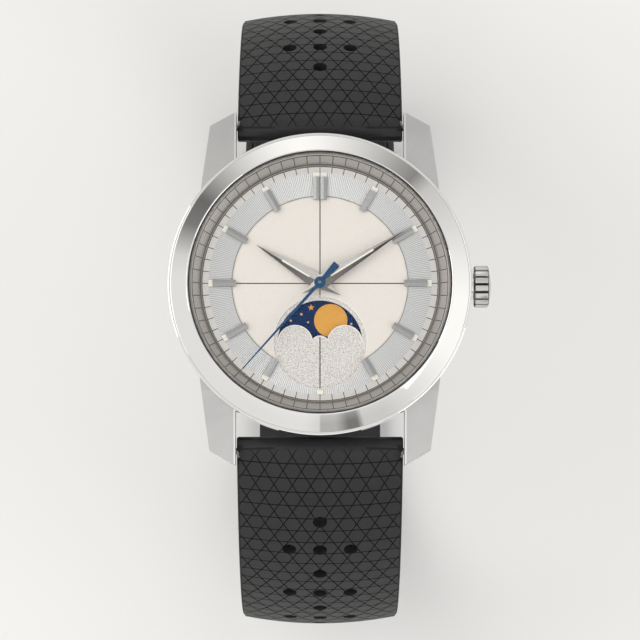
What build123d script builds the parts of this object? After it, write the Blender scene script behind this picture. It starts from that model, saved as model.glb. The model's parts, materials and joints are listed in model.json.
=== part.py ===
from build123d import *

import os
from math import asin, atan2, cos, degrees, hypot, radians, sin, sqrt

# Moon phase wristwatch, in millimetres.
# Origin: centre of the case back's outer face. +Z leaves through the dial, +Y points to 12, +X to the crown.

# Stack of the watch head, from the case back's outer face up
back_glass_thickness = 1.0
rotor_clearance = 0.35
rotor_thickness = 0.8
rotor_gap = 0.15
bridge_thickness = 0.8
train_space = 0.8
mainplate_thickness = 2.0
module_height = 1.5
dial_thickness = 0.4

# Case, lugs and bezel
bezel_overhang = 0.6
back_flange = 0.9
collar_height = 1.75
bezel_width = 2.4
bezel_edge_width = 0.35
bezel_land = 0.2
bezel_band_height = 1.85
bezel_rise = 1.7
collar_wall = 0.95
holder_bore_diameter = 29.2
lug_gap = 20.0
lug_reach = 21.1
lug_corner_reach = 19.3
lug_width = 3.1
lug_flare = 1.5
lug_drop = 1.9
lug_end_height = 3.2
lug_end_slope = 0.35
lug_shoulder = 12.5
lug_root = 8.0
lug_sag_share = 0.38
bar_setback = 1.66
bar_depth = 1.6

# Crystal, rehaut and dial
crystal_wall = 0.9
crystal_dome = 0.85
crystal_bevel = 0.25
dome_shares = (1, 0.7, 0.35)
gasket_wall = 0.15
gasket_height = 0.35
rehaut_height = 1.4
dial_opening = 27.9
rehaut_top_width = 0.35
dial_diameter = 28.8
centre_diameter = 20.76
centre_sink = 0.08
hand_hole = 1.3
marker_outer_radius = 12.65
marker_inner_radius = 9.95
short_marker_inner_radius = 10.4
marker_width = 0.75
marker_height = 0.5
marker_ridge = 0.16
marker_pair_gap = 0.1
pip_length = 0.5
pip_height = 0.2

# Moon window
moon_offset = 7.0
moon_plate_diameter = 10.94
moon_plate_thickness = 0.25
moon_plate_sink = 0.2
window_radius = 5.0
side_hump_radius = 2.1
side_hump_offset = 2.93
middle_hump_radius = 1.14
middle_hump_drop = 0.3
moon_radius = 1.97
moon_orbit = 2.95
moon_angle = 64.6
figure_thickness = 0.03
star_radius = 0.41
star_waist_share = 0.42
star_orbit_share = 1.47
star_angle = 39.4

# Hands
hand_thickness = 0.08
hand_ridge = 0.1
hand_gap = 0.18
hour_tip = 8.85
hour_tail = 2.9
hour_width = 1.3
hour_direction = 301.0
minute_tip = 11.9
minute_tail = 2.5
minute_width = 1.2
minute_direction = 58.1
second_tip = 13.6
second_tail = 2.96
second_width = 0.27
second_end_width = 0.1
second_tail_width = 0.81
second_hub = 1.36
second_direction = 221.6
first_hand_rise = 0.35
hand_hub_wall = 0.15

# Motion works and moon train
running_fit = 0.04
seconds_arbor_radius = 0.18
pipe_wall = 0.14
gear_module = 0.15
moon_module = 0.18
cannon_teeth = 10
minute_wheel_teeth = 30
minute_pinion_teeth = 8
hour_wheel_teeth = 32
hour_pinion_teeth = 16
day_wheel_teeth = 32
day_pinion_teeth = 6
reduction_teeth = 36
reduction_pinion_teeth = 6
idler_teeth = 36
moon_disc_teeth = 59
tip_share = 0.8
root_share = 1.15
gear_thickness = 0.2
gear_spacing = 0.05
post_radius = 0.18
minute_wheel_angle = 20.0
day_wheel_angle = 135.0
reduction_angle = 202.5

# Movement
mainplate_diameter = 25.6
holder_fit = 0.05
holder_step = 0.2
clamp_width = 2.4
clamp_length = 2.6
clamp_thickness = 0.3
clamp_edge = 0.15
clamp_angle = 110.0
screw_head_radius = 0.6
screw_head_height = 0.25
screw_radius = 0.3
screw_bite = 0.6
bridge_margin = 0.25
bridge_split = 0.2
bridge_radius = 11.0
bridge_line = 1.5
foot_radius = 0.9
foot_reach = 9.8
foot_spread = 75.0
barrel_diameter = 8.8
barrel_radius_out = 6.4
barrel_angle = 40.0
arbor_radius = 0.5
balance_diameter = 8.0
balance_radius_out = 7.0
balance_angle = 238.0
balance_rim = 0.55
balance_arm = 0.5
balance_height = 0.35
balance_staff_radius = 0.2
cock_width = 3.4
spring_wire = 0.12
spring_turns = 4
spring_pitch = 0.32
spring_height = 0.25
spring_sides = 10
fourth_radius = 1.7
rotor_diameter = 23.8
rotor_rim = 2.6
rotor_web = 0.25
rotor_hub_radius = 2.0
bearing_radius = 1.2

# Case back
back_diameter = 30.6
back_window = 24.6
back_spigot = 1.0
back_fit = 0.05
seal_depth = 0.25
key_slots = 6
key_width = 2.2
key_depth = 0.8
key_height = 0.5

# Crown and stem
stem_rise = 0.6
crown_diameter = 5.0
crown_gap = 0.25
crown_grip = 1.8
crown_cap = 0.35
crown_skirt_bore = 3.2
crown_skirt_depth = 1.25
crown_flutes = 16
flute_land_share = 0.4
flute_middle_share = 0.7
flute_depth = 0.16
tube_radius = 1.15
tube_bore = 0.6
tube_setback = 0.1
stem_radius = 0.5
stem_inner_end = 6.2
crown_travel = 0.9
pinion_radius = 0.9
pinion_length = 1.3
pinion_inner = 8.6
pinion_teeth = 12
stem_channel = 2.3
crown_seal_width = 0.45

# Strap
strap_side_gap = 0.15
strap_radius = 36.9
strap_outer = 1.8
strap_inner = 1.4
strap_end_inner = 0.9
strap_crown = 1.0
crown_shares = (0, 0.55, 1)
strap_bend_angle = 130.0
strap_bottom_radius = 25.15
strap_bulb = 1.85
bar_radius = 0.85
bar_tip_radius = 0.4
bar_tip_length = 1.1
bar_fit = 0.06
strap_knee_width = 19.3
buckle_end_width = 17.3
tail_end_width = 16.1
buckle_end_setback = 12.2
tail_overlap = 16.8
tail_tip_round = 3.4
stand_flat = 0.5
hole_diameter = 1.7
hole_first_angle = 45.5
hole_step_angle = 7.1
hole_rows = 7
hole_side = 3.7
tail_holes = 6
tail_hole_lead = 22.7
tail_hole_step = 5.5

# Buckle and keepers
buckle_bar_radius = 0.6
strap_end_round = 1.45
tongue_slot_width = 2.2
tongue_slot_depth = 3.0
buckle_rail = 1.7
buckle_thickness = 1.6
buckle_length = 10.5
buckle_front = 1.8
buckle_side_gap = 0.25
buckle_rear = 1.3
buckle_lift = 20.0
tang_radius = 0.5
tang_collar_radius = 1.15
tang_collar_length = 1.7
keeper_wall = 0.9
keeper_width = 4.0
keeper_gap = 0.2
keeper_room = 2.8
fixed_keeper_setback = 6.5
free_keeper_setback = 14.5
free_keeper_travel = 12.0

overrun = 1.0
marker_count = 12
peg_sides = 12
hole_sides = 8
rod_sides = 20
ring_sides = 30
upper_facets = 12
lower_facets = 5
star_points = 5
gear_layers = ("motion", "hour", "day", "reduction", "moon")

# Levels worked out from the stack
rotor_low = back_glass_thickness + rotor_clearance
rotor_high = rotor_low + rotor_thickness
bridge_low = rotor_high + rotor_gap
bridge_high = bridge_low + bridge_thickness
plate_low = bridge_high + train_space
plate_high = plate_low + mainplate_thickness
dial_low = plate_high + module_height
dial_high = dial_low + dial_thickness
bezel_low = dial_high - collar_height
bezel_edge = bezel_low + bezel_band_height
bezel_top = bezel_edge + bezel_rise
rehaut_high = dial_high + rehaut_height
crystal_low = rehaut_high
stem_level = plate_low + stem_rise
lug_end_top = bezel_low - lug_drop
lug_end_low = lug_end_top - lug_end_height
bar_place = lug_reach - bar_setback
bar_level = lug_end_top - bar_depth

# Radii worked out from the diameters
collar_inner_radius = holder_bore_diameter / 2
bezel_bore_radius = collar_inner_radius + collar_wall
bezel_radius = bezel_bore_radius + bezel_width
case_radius = bezel_radius - bezel_overhang
crystal_radius = bezel_bore_radius - gasket_wall
moon_plate_radius = moon_plate_diameter / 2
plate_radius = mainplate_diameter / 2
back_radius = back_diameter / 2
seal_inner = collar_inner_radius + back_fit
seal_outer = back_radius - back_fit
crown_start = bezel_radius + crown_gap
tube_end = crown_start + crown_skirt_depth - crown_seal_width
stem_end = crown_start + crown_grip - crown_cap
strap_half_width = lug_gap / 2 - strap_side_gap


def node(name, *solids):
    """Writes one sub-part, from one or more solids."""
    shape = solids[0] if len(solids) == 1 else Compound(children=list(solids))
    shape.label = name
    export_step(shape, os.path.join("parts", name + ".step"))


def disc(radius, low, high, x=0, y=0):
    """Cylinder between two levels."""
    return Pos(x, y, low) * extrude(Circle(radius), high - low)


def peg(radius, low, high, x=0, y=0, sides=peg_sides):
    """Small round piece with few sides, or the bore for one."""
    return Pos(x, y, low) * extrude(RegularPolygon(radius, sides), high - low)


def plain_disc(radius, low, high, x=0, y=0):
    """Round plate with few sides, inside its true circle."""
    return Pos(x, y, low) * extrude(RegularPolygon(radius, ring_sides), high - low)


def plain_bore(radius, low, high, x=0, y=0):
    """Round bore with few sides, outside its true circle."""
    return Pos(x, y, low) * extrude(RegularPolygon(radius, ring_sides, major_radius=False), high - low)


def plain_ring(outer, inner, low, high):
    """Flat ring with few sides, which stays between two true circles."""
    return plain_disc(outer, low, high) - plain_bore(inner, low, high)


def turned(points):
    """Round body from an outline of (radius, level) points."""
    return revolve(Plane.XZ * make_face(Polyline(*points, close=True)), Axis.Z)


def round_outline(radius, level):
    """Corners of a round outline with few sides, at a level."""
    return [(*polar(radius, 360 * side / ring_sides), level) for side in range(ring_sides)]


def dome_outlines(radius, low, rise):
    """Round outlines that close in on a low dome."""
    return [round_outline(radius * share, low + rise * (1 - share**2)) for share in dome_shares]


def faceted(outlines):
    """Solid with flat facets between matching outlines, and flat ends."""
    faces = [make_face(Polyline(*outline, close=True)) for outline in (outlines[0], outlines[-1])]
    for near, far in zip(outlines, outlines[1:]):
        for corner in range(len(near)):
            quad = Polyline(near[corner - 1], near[corner], far[corner], far[corner - 1], close=True)
            faces.append(make_face(quad))
    return Solid(Shell(faces))


def box_between(x_low, x_high, y_low, y_high, z_low, z_high):
    """Block between two corners."""
    block = Box(x_high - x_low, y_high - y_low, z_high - z_low)
    return Pos((x_low + x_high) / 2, (y_low + y_high) / 2, (z_low + z_high) / 2) * block


def rod(radius, x_low, x_high, y, z):
    """Cylinder along X."""
    return Plane((x_low, y, z), x_dir=(0, 1, 0), z_dir=(1, 0, 0)) * extrude(Circle(radius), x_high - x_low)


def thin_rod(radius, x_low, x_high, y, z, sides=peg_sides):
    """Small rod along X with few sides."""
    place = Plane((x_low, y, z), x_dir=(0, 1, 0), z_dir=(1, 0, 0))
    return place * extrude(RegularPolygon(radius, sides), x_high - x_low)


def polar(radius, angle):
    """Place at a radius and an angle counted from +X."""
    return radius * cos(radians(angle)), radius * sin(radians(angle))


def circles_meet(first, first_radius, second, second_radius):
    """Left-hand meeting point of two circles, looking from the first centre to the second."""
    along_x, along_y = second[0] - first[0], second[1] - first[1]
    gap = hypot(along_x, along_y)
    along = (first_radius**2 - second_radius**2 + gap**2) / (2 * gap)
    aside = sqrt(first_radius**2 - along**2)
    return (
        first[0] + (along * along_x - aside * along_y) / gap,
        first[1] + (along * along_y + aside * along_x) / gap,
    )


def gear_outline(teeth, module, phase):
    """Toothed outline about the origin, with a tooth tip at the phase angle in degrees."""
    pitch_radius = teeth * module / 2
    tip = pitch_radius + module * tip_share
    root = pitch_radius - module * root_share
    step = 360 / teeth
    points = []
    for tooth in range(teeth):
        points.append(polar(tip, phase + tooth * step))
        points.append(polar(root, phase + (tooth + 0.5) * step))
    return make_face(Polyline(*points, close=True))


def gear(teeth, module, phase, low, high, place):
    """Gear without a bore."""
    return Pos(place[0], place[1], low) * extrude(gear_outline(teeth, module, phase), high - low)


def meshed_phase(teeth, phase, mate_teeth, place, mate_place):
    """Phase that puts a gap of the mate where the gear has a tooth."""
    line = degrees(atan2(mate_place[1] - place[1], mate_place[0] - place[0]))
    return line + 180 - ((phase - line) * teeth + 180) / mate_teeth


# Levels and bores of the hands
hour_low = dial_high + first_hand_rise
minute_low = hour_low + hand_thickness + hand_ridge + hand_gap
second_low = minute_low + hand_thickness + hand_ridge + hand_gap
cannon_bore = seconds_arbor_radius + running_fit
cannon_outer = cannon_bore + pipe_wall
hour_bore = cannon_outer + running_fit
hour_outer = hour_bore + pipe_wall
post_bore = post_radius + running_fit

# Centres of the motion works and moon train, each from the wheel before it
centre_place = (0, 0)
moon_place = (0, -moon_offset)
minute_place = polar((cannon_teeth + minute_wheel_teeth) * gear_module / 2, minute_wheel_angle)
day_place = polar((hour_pinion_teeth + day_wheel_teeth) * gear_module / 2, day_wheel_angle)
reduction_reach = polar((day_pinion_teeth + reduction_teeth) * gear_module / 2, reduction_angle)
reduction_place = (day_place[0] + reduction_reach[0], day_place[1] + reduction_reach[1])
idler_place = circles_meet(
    moon_place,
    (idler_teeth + moon_disc_teeth) * moon_module / 2,
    reduction_place,
    (reduction_pinion_teeth + idler_teeth) * moon_module / 2,
)
barrel_place = polar(barrel_radius_out, barrel_angle)
balance_place = polar(balance_radius_out, balance_angle)

# Phases that let the moon train mesh
idler_phase = meshed_phase(reduction_pinion_teeth, 0, idler_teeth, reduction_place, idler_place)
moon_phase = meshed_phase(idler_teeth, idler_phase, moon_disc_teeth, idler_place, moon_place)


# Case
def case_body():
    """Round drum with a collar for the bezel, four lugs and the bore for the movement."""
    drum = disc(case_radius, back_flange, bezel_low)
    collar = plain_disc(bezel_bore_radius, bezel_low, dial_high)
    half_gap = lug_gap / 2
    corner = half_gap + lug_width
    plan = make_face(
        Polyline(
            (half_gap, lug_root),
            (half_gap, lug_reach),
            (corner, lug_corner_reach),
            (corner + lug_flare, lug_root),
            close=True,
        )
    )
    side = make_face(
        Polyline(
            (0, back_flange),
            (0, bezel_low),
            (lug_shoulder, bezel_low),
        )
        + ThreePointArc(
            (lug_shoulder, bezel_low),
            ((lug_shoulder + lug_reach) / 2, bezel_low - lug_drop * lug_sag_share),
            (lug_reach, lug_end_top),
        )
        + Polyline(
            (lug_reach, lug_end_top),
            (lug_reach, lug_end_low + lug_end_slope),
            (lug_reach - lug_end_slope, lug_end_low),
            (lug_shoulder, back_flange),
            (0, back_flange),
        )
    )
    lug = extrude(plan, bezel_low + overrun) & (
        Plane((0, 0, 0), x_dir=(0, 1, 0), z_dir=(1, 0, 0)) * extrude(side, corner + lug_flare + overrun)
    )
    body = drum + collar
    for across in (1, -1):
        for along in (1, -1):
            turned_lug = lug
            if across < 0:
                turned_lug = mirror(turned_lug, Plane.YZ)
            if along < 0:
                turned_lug = mirror(turned_lug, Plane.XZ)
            body += turned_lug
    body -= plain_bore(collar_inner_radius, 0, dial_high + overrun)
    hole_reach = half_gap + bar_tip_length + bar_fit
    for along in (1, -1):
        body -= thin_rod(bar_tip_radius + bar_fit, -hole_reach, hole_reach, along * bar_place, bar_level)
    return body - rod(tube_radius, 0, case_radius + overrun, 0, stem_level)


def bezel():
    """Polished ring with a low band, a sloped face and a narrow land round the glass."""
    body = turned(
        [
            (0, bezel_low),
            (bezel_radius, bezel_low),
            (bezel_radius, bezel_edge - bezel_edge_width),
            (bezel_radius - bezel_edge_width, bezel_edge),
            (bezel_bore_radius + bezel_land, bezel_top),
            (0, bezel_top),
        ]
    )
    return body - plain_disc(bezel_bore_radius, bezel_low, bezel_top)


def crystal():
    """Domed glass that stands proud of the bezel, flat inside."""
    top = crystal_low + crystal_wall
    rim = crystal_radius - crystal_bevel
    wall = [round_outline(crystal_radius, crystal_low), round_outline(crystal_radius, top - crystal_bevel)]
    return faceted(wall + dome_outlines(rim, top, crystal_dome))


def crystal_gasket():
    """Ring that holds the glass in the bezel."""
    return plain_ring(bezel_bore_radius, crystal_radius, crystal_low, crystal_low + gasket_height)


def rehaut():
    """Sloped flange between the dial and the glass."""
    body = plain_disc(bezel_bore_radius, dial_high, rehaut_high)
    top = round_outline(bezel_bore_radius - rehaut_top_width, rehaut_high)
    return body - faceted([round_outline(dial_opening / 2, dial_high), top])


# Dial
def dial_plate():
    """Plate with a sunk centre, a hole for the hands and a round opening for the moon plate."""
    plate = plain_disc(dial_diameter / 2, dial_low, dial_high)
    plate -= plain_disc(centre_diameter / 2, dial_high - centre_sink, dial_high + overrun)
    plate -= peg(hand_hole, dial_low - overrun, dial_high + overrun)
    return plate - plain_disc(moon_plate_radius, dial_low - overrun, dial_high + overrun, 0, -moon_offset)


def moon_plate():
    """Sunk plate with the moon window: an arc above, two large humps and a small one below."""
    high = dial_high - moon_plate_sink
    low = high - moon_plate_thickness
    window = Circle(window_radius) & (Pos(0, window_radius) * Rectangle(2 * window_radius, 2 * window_radius))
    for across in (1, -1):
        window -= Pos(across * side_hump_offset, 0) * Circle(side_hump_radius)
    window -= Pos(0, -middle_hump_drop) * Circle(middle_hump_radius)
    plate = plain_disc(moon_plate_radius, low, high, 0, -moon_offset)
    return plate - Pos(0, -moon_offset, low - overrun) * extrude(window, moon_plate_thickness + 2 * overrun)


def marker(inner, outer, aside, angle):
    """Bar with a roof ridge, pointing away from the centre."""
    length = outer - inner
    half = marker_width / 2
    section = make_face(
        Polyline(
            (-half, dial_high),
            (half, dial_high),
            (half, dial_high + marker_height - marker_ridge),
            (0, dial_high + marker_height),
            (-half, dial_high + marker_height - marker_ridge),
            close=True,
        )
    )
    bar = Plane((0, 0, 0), x_dir=(1, 0, 0), z_dir=(0, -1, 0)) * extrude(section, length)
    return Rot(0, 0, -angle) * Pos(aside, outer, 0) * bar


def hour_markers():
    """One bar at each hour, two at 12, short ones beside the moon window and none at 6."""
    bars = []
    step = 360 / marker_count
    beside_window = (marker_count / 2 - 1, marker_count / 2 + 1)
    for hour in range(marker_count):
        if hour == marker_count / 2:
            continue
        inner = short_marker_inner_radius if hour in beside_window else marker_inner_radius
        shift = (marker_width + marker_pair_gap) / 2
        for aside in (-shift, shift) if hour == 0 else (0,):
            bars.append(marker(inner, marker_outer_radius, aside, hour * step))
    return bars


def lume_pips():
    """Small luminous block outside each bar."""
    pips = []
    step = 360 / marker_count
    shift = (marker_width + marker_pair_gap) / 2
    outer = marker_outer_radius + pip_length
    for hour in range(marker_count):
        for aside in (-shift, shift) if hour == 0 else (0,):
            low, high = aside - marker_width / 2, aside + marker_width / 2
            pip = box_between(low, high, marker_outer_radius, outer, dial_high, dial_high + pip_height)
            pips.append(Rot(0, 0, -hour * step) * pip)
    return pips


# Hands, drawn pointing to 12 and turned clockwise
def dauphine(tip, tail, width, low, bore):
    """Pointed hand with a ridge, whose top falls from the hub to both points."""
    kite = make_face(Polyline((0, -tail), (width / 2, 0), (0, tip), (-width / 2, 0), close=True))
    high = low + hand_thickness
    blade = Pos(0, 0, low) * extrude(kite, hand_thickness)
    roof = loft([Pos(0, 0, high) * kite, Vertex(0, 0, high + hand_ridge)])
    hub = peg(bore + hand_hub_wall, low, high + hand_ridge)
    return blade + roof + hub - peg(bore, low - overrun, high + overrun)


def hour_hand():
    """Hour hand on the hour wheel's pipe."""
    hand = dauphine(hour_tip, hour_tail, hour_width, hour_low, hour_outer)
    return Rot(0, 0, -hour_direction) * hand


def minute_hand():
    """Minute hand on the cannon pinion's pipe."""
    hand = dauphine(minute_tip, minute_tail, minute_width, minute_low, cannon_outer)
    return Rot(0, 0, -minute_direction) * hand


def seconds_hand():
    """Thin needle with a widening counterweight and a round hub."""
    half = second_width / 2
    outline = make_face(
        Polyline(
            (half, 0),
            (second_end_width / 2, second_tip),
            (-second_end_width / 2, second_tip),
            (-half, 0),
            (-second_tail_width / 2, -second_tail),
            (second_tail_width / 2, -second_tail),
            close=True,
        )
    )
    needle = Pos(0, 0, second_low) * extrude(outline, hand_thickness)
    hub = peg(second_hub / 2, second_low, second_low + hand_thickness + hand_ridge)
    hand = needle + hub - peg(seconds_arbor_radius, second_low - overrun, second_low + overrun)
    return Rot(0, 0, -second_direction) * hand


def layer(name):
    """Lower and upper level of one layer of gears above the mainplate."""
    low = plate_high + gear_spacing + gear_layers.index(name) * (gear_thickness + gear_spacing)
    return low, low + gear_thickness


def cannon_pinion():
    """Pinion whose pipe carries the minute hand."""
    low, high = layer("motion")
    top = minute_low + hand_thickness + hand_ridge
    pinion = gear(cannon_teeth, gear_module, 0, low, high, centre_place) + peg(cannon_outer, low, top)
    return pinion - peg(cannon_bore, low - overrun, top + overrun)


def minute_wheel():
    """Wheel driven by the cannon pinion, with the pinion that drives the hour wheel."""
    low, high = layer("motion")
    phase = meshed_phase(cannon_teeth, 0, minute_wheel_teeth, centre_place, minute_place)
    wheel = gear(minute_wheel_teeth, gear_module, phase, low, high, minute_place)
    top = layer("hour")[1]
    wheel += gear(minute_pinion_teeth, gear_module, 0, high, top, minute_place)
    return wheel - peg(post_bore, low - overrun, top + overrun, *minute_place)


def hour_wheel():
    """Hour wheel with the small wheel of the moon train and the pipe of the hour hand."""
    low, high = layer("hour")
    phase = meshed_phase(minute_pinion_teeth, 0, hour_wheel_teeth, minute_place, centre_place)
    wheel = gear(hour_wheel_teeth, gear_module, phase, low, high, centre_place)
    wheel += gear(hour_pinion_teeth, gear_module, 0, high, layer("day")[1], centre_place)
    top = hour_low + hand_thickness + hand_ridge
    wheel += peg(hour_outer, low, top)
    return wheel - peg(hour_bore, low - overrun, top + overrun)


def day_wheel():
    """Wheel that turns once in a day, with its pinion."""
    low, high = layer("day")
    phase = meshed_phase(hour_pinion_teeth, 0, day_wheel_teeth, centre_place, day_place)
    wheel = gear(day_wheel_teeth, gear_module, phase, low, high, day_place)
    top = layer("reduction")[1]
    wheel += gear(day_pinion_teeth, gear_module, 0, high, top, day_place)
    return wheel - peg(post_bore, low - overrun, top + overrun, *day_place)


def reduction_wheel():
    """Slow wheel between the day wheel and the moon idler."""
    low, high = layer("reduction")
    phase = meshed_phase(day_pinion_teeth, 0, reduction_teeth, day_place, reduction_place)
    wheel = gear(reduction_teeth, gear_module, phase, low, high, reduction_place)
    top = layer("moon")[1]
    wheel += gear(reduction_pinion_teeth, moon_module, 0, high, top, reduction_place)
    return wheel - peg(post_bore, low - overrun, top + overrun, *reduction_place)


def moon_idler():
    """Wheel that turns the moon disc."""
    low, high = layer("moon")
    wheel = gear(idler_teeth, moon_module, idler_phase, low, high, idler_place)
    return wheel - peg(post_bore, low - overrun, high + overrun, *idler_place)


def moon_disc():
    """Toothed disc with 59 teeth, two lunar months a turn."""
    low, high = layer("moon")
    wheel = gear(moon_disc_teeth, moon_module, moon_phase, low, high, moon_place)
    return wheel - peg(post_bore, low - overrun, high + overrun, *moon_place)


def star(radius):
    """Five-pointed outline, with a point towards 12."""
    step = 360 / star_points
    points = []
    for tip in range(star_points):
        points.append(polar(radius, 360 / 4 + step * tip))
        points.append(polar(radius * star_waist_share, 360 / 4 + step * (tip + 0.5)))
    return make_face(Polyline(*points, close=True))


def moon_figures():
    """Two opposite moons, each with the large star that follows it, as thin plates on the disc."""
    level = layer("moon")[1]
    figures = []
    for turn in (0, 180):
        moon_x, moon_y = polar(moon_orbit, moon_angle + turn)
        figures.append(plain_disc(moon_radius, level, level + figure_thickness, moon_x, moon_y - moon_offset))
        star_x, star_y = polar(moon_orbit * star_orbit_share, moon_angle + star_angle + turn)
        large_star = extrude(star(star_radius), figure_thickness)
        figures.append(Pos(star_x, star_y - moon_offset, level) * large_star)
    return figures


def module_posts():
    """Posts on the mainplate that the wheels turn on."""
    tops = (
        (minute_place, "hour"),
        (day_place, "reduction"),
        (reduction_place, "moon"),
        (idler_place, "moon"),
        (moon_place, "moon"),
    )
    return [peg(post_radius, plate_high, layer(top)[1], *place) for place, top in tops]


# Movement
def mainplate():
    """Round plate with the centre hole and the channel for the winding stem."""
    plate = plain_disc(plate_radius, plate_low, plate_high)
    plate -= peg(cannon_bore, plate_low - overrun, plate_high + overrun)
    half = stem_channel / 2
    inner = stem_inner_end - running_fit
    plate -= box_between(inner, plate_radius + overrun, -half, half, 0, stem_level + half)
    for place in foot_places(0) + foot_places(180) + clamp_screw_places():
        plate -= peg(screw_radius, 0, plate_low + screw_bite, *place, hole_sides)
    return plate


def movement_ring():
    """Holder that centres the mainplate in the case and carries the dial."""
    inner = plate_radius + holder_fit
    outer = collar_inner_radius - holder_fit
    holder = plain_ring(outer, inner, plate_low, plate_high)
    holder += plain_ring(outer, inner - holder_step, plate_high, dial_low)
    half = stem_channel / 2
    return holder - box_between(0, outer + overrun, -half, half, 0, stem_level + half)


def case_clamps():
    """Two clamps that reach from the mainplate over the holder."""
    inner = plate_radius - clamp_length / 2
    half = clamp_width / 2
    clamps = []
    for turn in (0, 180):
        clamp = box_between(inner, inner + clamp_length, -half, half, plate_low - clamp_thickness, plate_low)
        clamp -= peg(screw_radius, 0, plate_low, inner + screw_head_radius + clamp_edge, 0, hole_sides)
        clamps.append(Rot(0, 0, clamp_angle + turn) * clamp)
    return clamps


def seated_screw(x, y, level):
    """Screw with its head below a level, and its shank up into the mainplate."""
    head = peg(screw_head_radius, level - screw_head_height, level, x, y)
    return head + peg(screw_radius, level, plate_low + screw_bite, x, y, hole_sides)


def clamp_screw_places():
    """Places of the clamps' screws, just inside the mainplate's rim."""
    reach = plate_radius - clamp_length / 2 + screw_head_radius + clamp_edge
    return [polar(reach, clamp_angle + turn) for turn in (0, 180)]


def clamp_screws():
    """Screws of the two clamps."""
    return [seated_screw(x, y, plate_low - clamp_thickness) for x, y in clamp_screw_places()]


def foot_places(turn):
    """Places of the two feet of a bridge, spread about its direction."""
    return [polar(foot_reach, barrel_angle + turn + side * foot_spread) for side in (1, -1)]


def bridge(turn):
    """Half-round bridge on one side of the split line, on two screwed feet."""
    line = bridge_line if turn == 0 else -bridge_line + bridge_split
    plate = plain_disc(bridge_radius, bridge_low, bridge_high)
    cover = box_between(line, bridge_radius, -bridge_radius, bridge_radius, bridge_low, bridge_high)
    plate &= Rot(0, 0, barrel_angle + turn) * cover
    for place in foot_places(turn):
        plate += peg(foot_radius, bridge_low, plate_low, *place)
        plate -= peg(screw_head_radius + running_fit, 0, bridge_low + screw_head_height + running_fit, *place)
        plate -= peg(screw_radius, 0, plate_low, *place, hole_sides)
    return plate


def barrel_bridge():
    """Bridge over the mainspring barrel."""
    x, y = barrel_place
    return bridge(0) - peg(arbor_radius + running_fit, 0, plate_low, x, y)


def train_bridge():
    """Bridge over the train, cut back round the balance."""
    plate = bridge(180)
    plate -= plain_disc(balance_diameter / 2 + bridge_margin, 0, plate_low, *balance_place)
    return plate - peg(cannon_bore, 0, plate_low)


def bridge_screws():
    """Four screws sunk in the bridge feet."""
    level = bridge_low + screw_head_height + running_fit
    return [seated_screw(x, y, level) for turn in (0, 180) for x, y in foot_places(turn)]


def barrel():
    """Mainspring barrel with its arbor."""
    x, y = barrel_place
    drum = plain_disc(barrel_diameter / 2, bridge_high + running_fit, plate_low - running_fit, x, y)
    return drum + peg(arbor_radius, bridge_low + running_fit, bridge_high + running_fit, x, y)


def balance_wheel():
    """Rim, two arms and staff."""
    outer = balance_diameter / 2
    low = plate_low - balance_height - running_fit
    high = plate_low - running_fit
    x, y = balance_place
    wheel = Pos(0, 0, low) * extrude(
        RegularPolygon(outer, ring_sides) - RegularPolygon(outer - balance_rim, ring_sides), high - low
    )
    reach = outer - balance_rim / 2
    wheel += box_between(-reach, reach, -balance_arm / 2, balance_arm / 2, low, high)
    wheel += peg(balance_staff_radius, bridge_high + running_fit, high)
    return Pos(x, y, 0) * wheel


def hairspring():
    """Flat spiral about the balance staff, with a few straight sides to a turn."""
    x, y = balance_place
    low = bridge_high + running_fit
    radius = balance_staff_radius + spring_pitch
    turns = [step / spring_sides for step in range(spring_turns * spring_sides + 1)]
    inside = [polar(radius + spring_pitch * turn, 360 * turn) for turn in turns]
    outside = [polar(radius + spring_pitch * turn + spring_wire, 360 * turn) for turn in turns]
    spiral = make_face(Polyline(*inside, *reversed(outside), close=True))
    return Pos(x, y, low) * extrude(spiral, spring_height)


def balance_cock():
    """Arm over the balance, screwed to the mainplate beyond its rim."""
    x_end = plate_radius - holder_step
    x_start = balance_radius_out - cock_width / 2
    half = cock_width / 2
    arm = box_between(x_start, x_end, -half, half, bridge_low, bridge_high)
    foot_start = balance_radius_out + balance_diameter / 2 + bridge_margin
    arm += box_between(foot_start, x_end, -half, half, bridge_high, plate_low)
    arm &= plain_disc(x_end, 0, plate_low)
    return Rot(0, 0, balance_angle) * arm


def rotor():
    """Half-round weight with a heavy rim on a thin web."""
    outer = rotor_diameter / 2
    half_plane = box_between(-outer, outer, -outer, 0, 0, rotor_high)
    weight = plain_ring(outer, outer - rotor_rim, rotor_low, rotor_high) & half_plane
    weight += plain_disc(outer - rotor_rim / 2, rotor_high - rotor_web, rotor_high) & half_plane
    weight += plain_disc(rotor_hub_radius, rotor_low, rotor_high)
    return weight - plain_bore(bearing_radius + running_fit, 0, bridge_low)


def rotor_bearing():
    """Bearing under the train bridge that the rotor turns on."""
    return disc(bearing_radius, rotor_low, bridge_low)


def seconds_arbor():
    """Arbor of the seconds hand with the fourth wheel on it."""
    top = second_low + hand_thickness + hand_ridge
    low = bridge_high + running_fit
    arbor = peg(seconds_arbor_radius, bridge_low + running_fit, top)
    return arbor + plain_disc(fourth_radius, low, low + gear_thickness)


# Case back
def caseback_ring():
    """Screwed ring with six key slots round the back glass."""
    body = disc(back_radius, 0, back_flange)
    body += plain_disc(collar_inner_radius - back_fit, back_flange, back_flange + back_spigot)
    body -= plain_disc(back_window / 2, 0, back_flange + back_spigot)
    for slot in range(key_slots):
        inner = back_radius - key_depth
        cut = box_between(inner, back_radius + overrun, -key_width / 2, key_width / 2, -overrun, key_height)
        body -= Rot(0, 0, slot * 360 / key_slots) * cut
    return body - plain_ring(seal_outer, seal_inner, back_flange - seal_depth, back_flange + overrun)


def caseback_glass():
    """Flat glass of the case back."""
    return plain_disc(back_window / 2, 0, back_glass_thickness)


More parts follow.
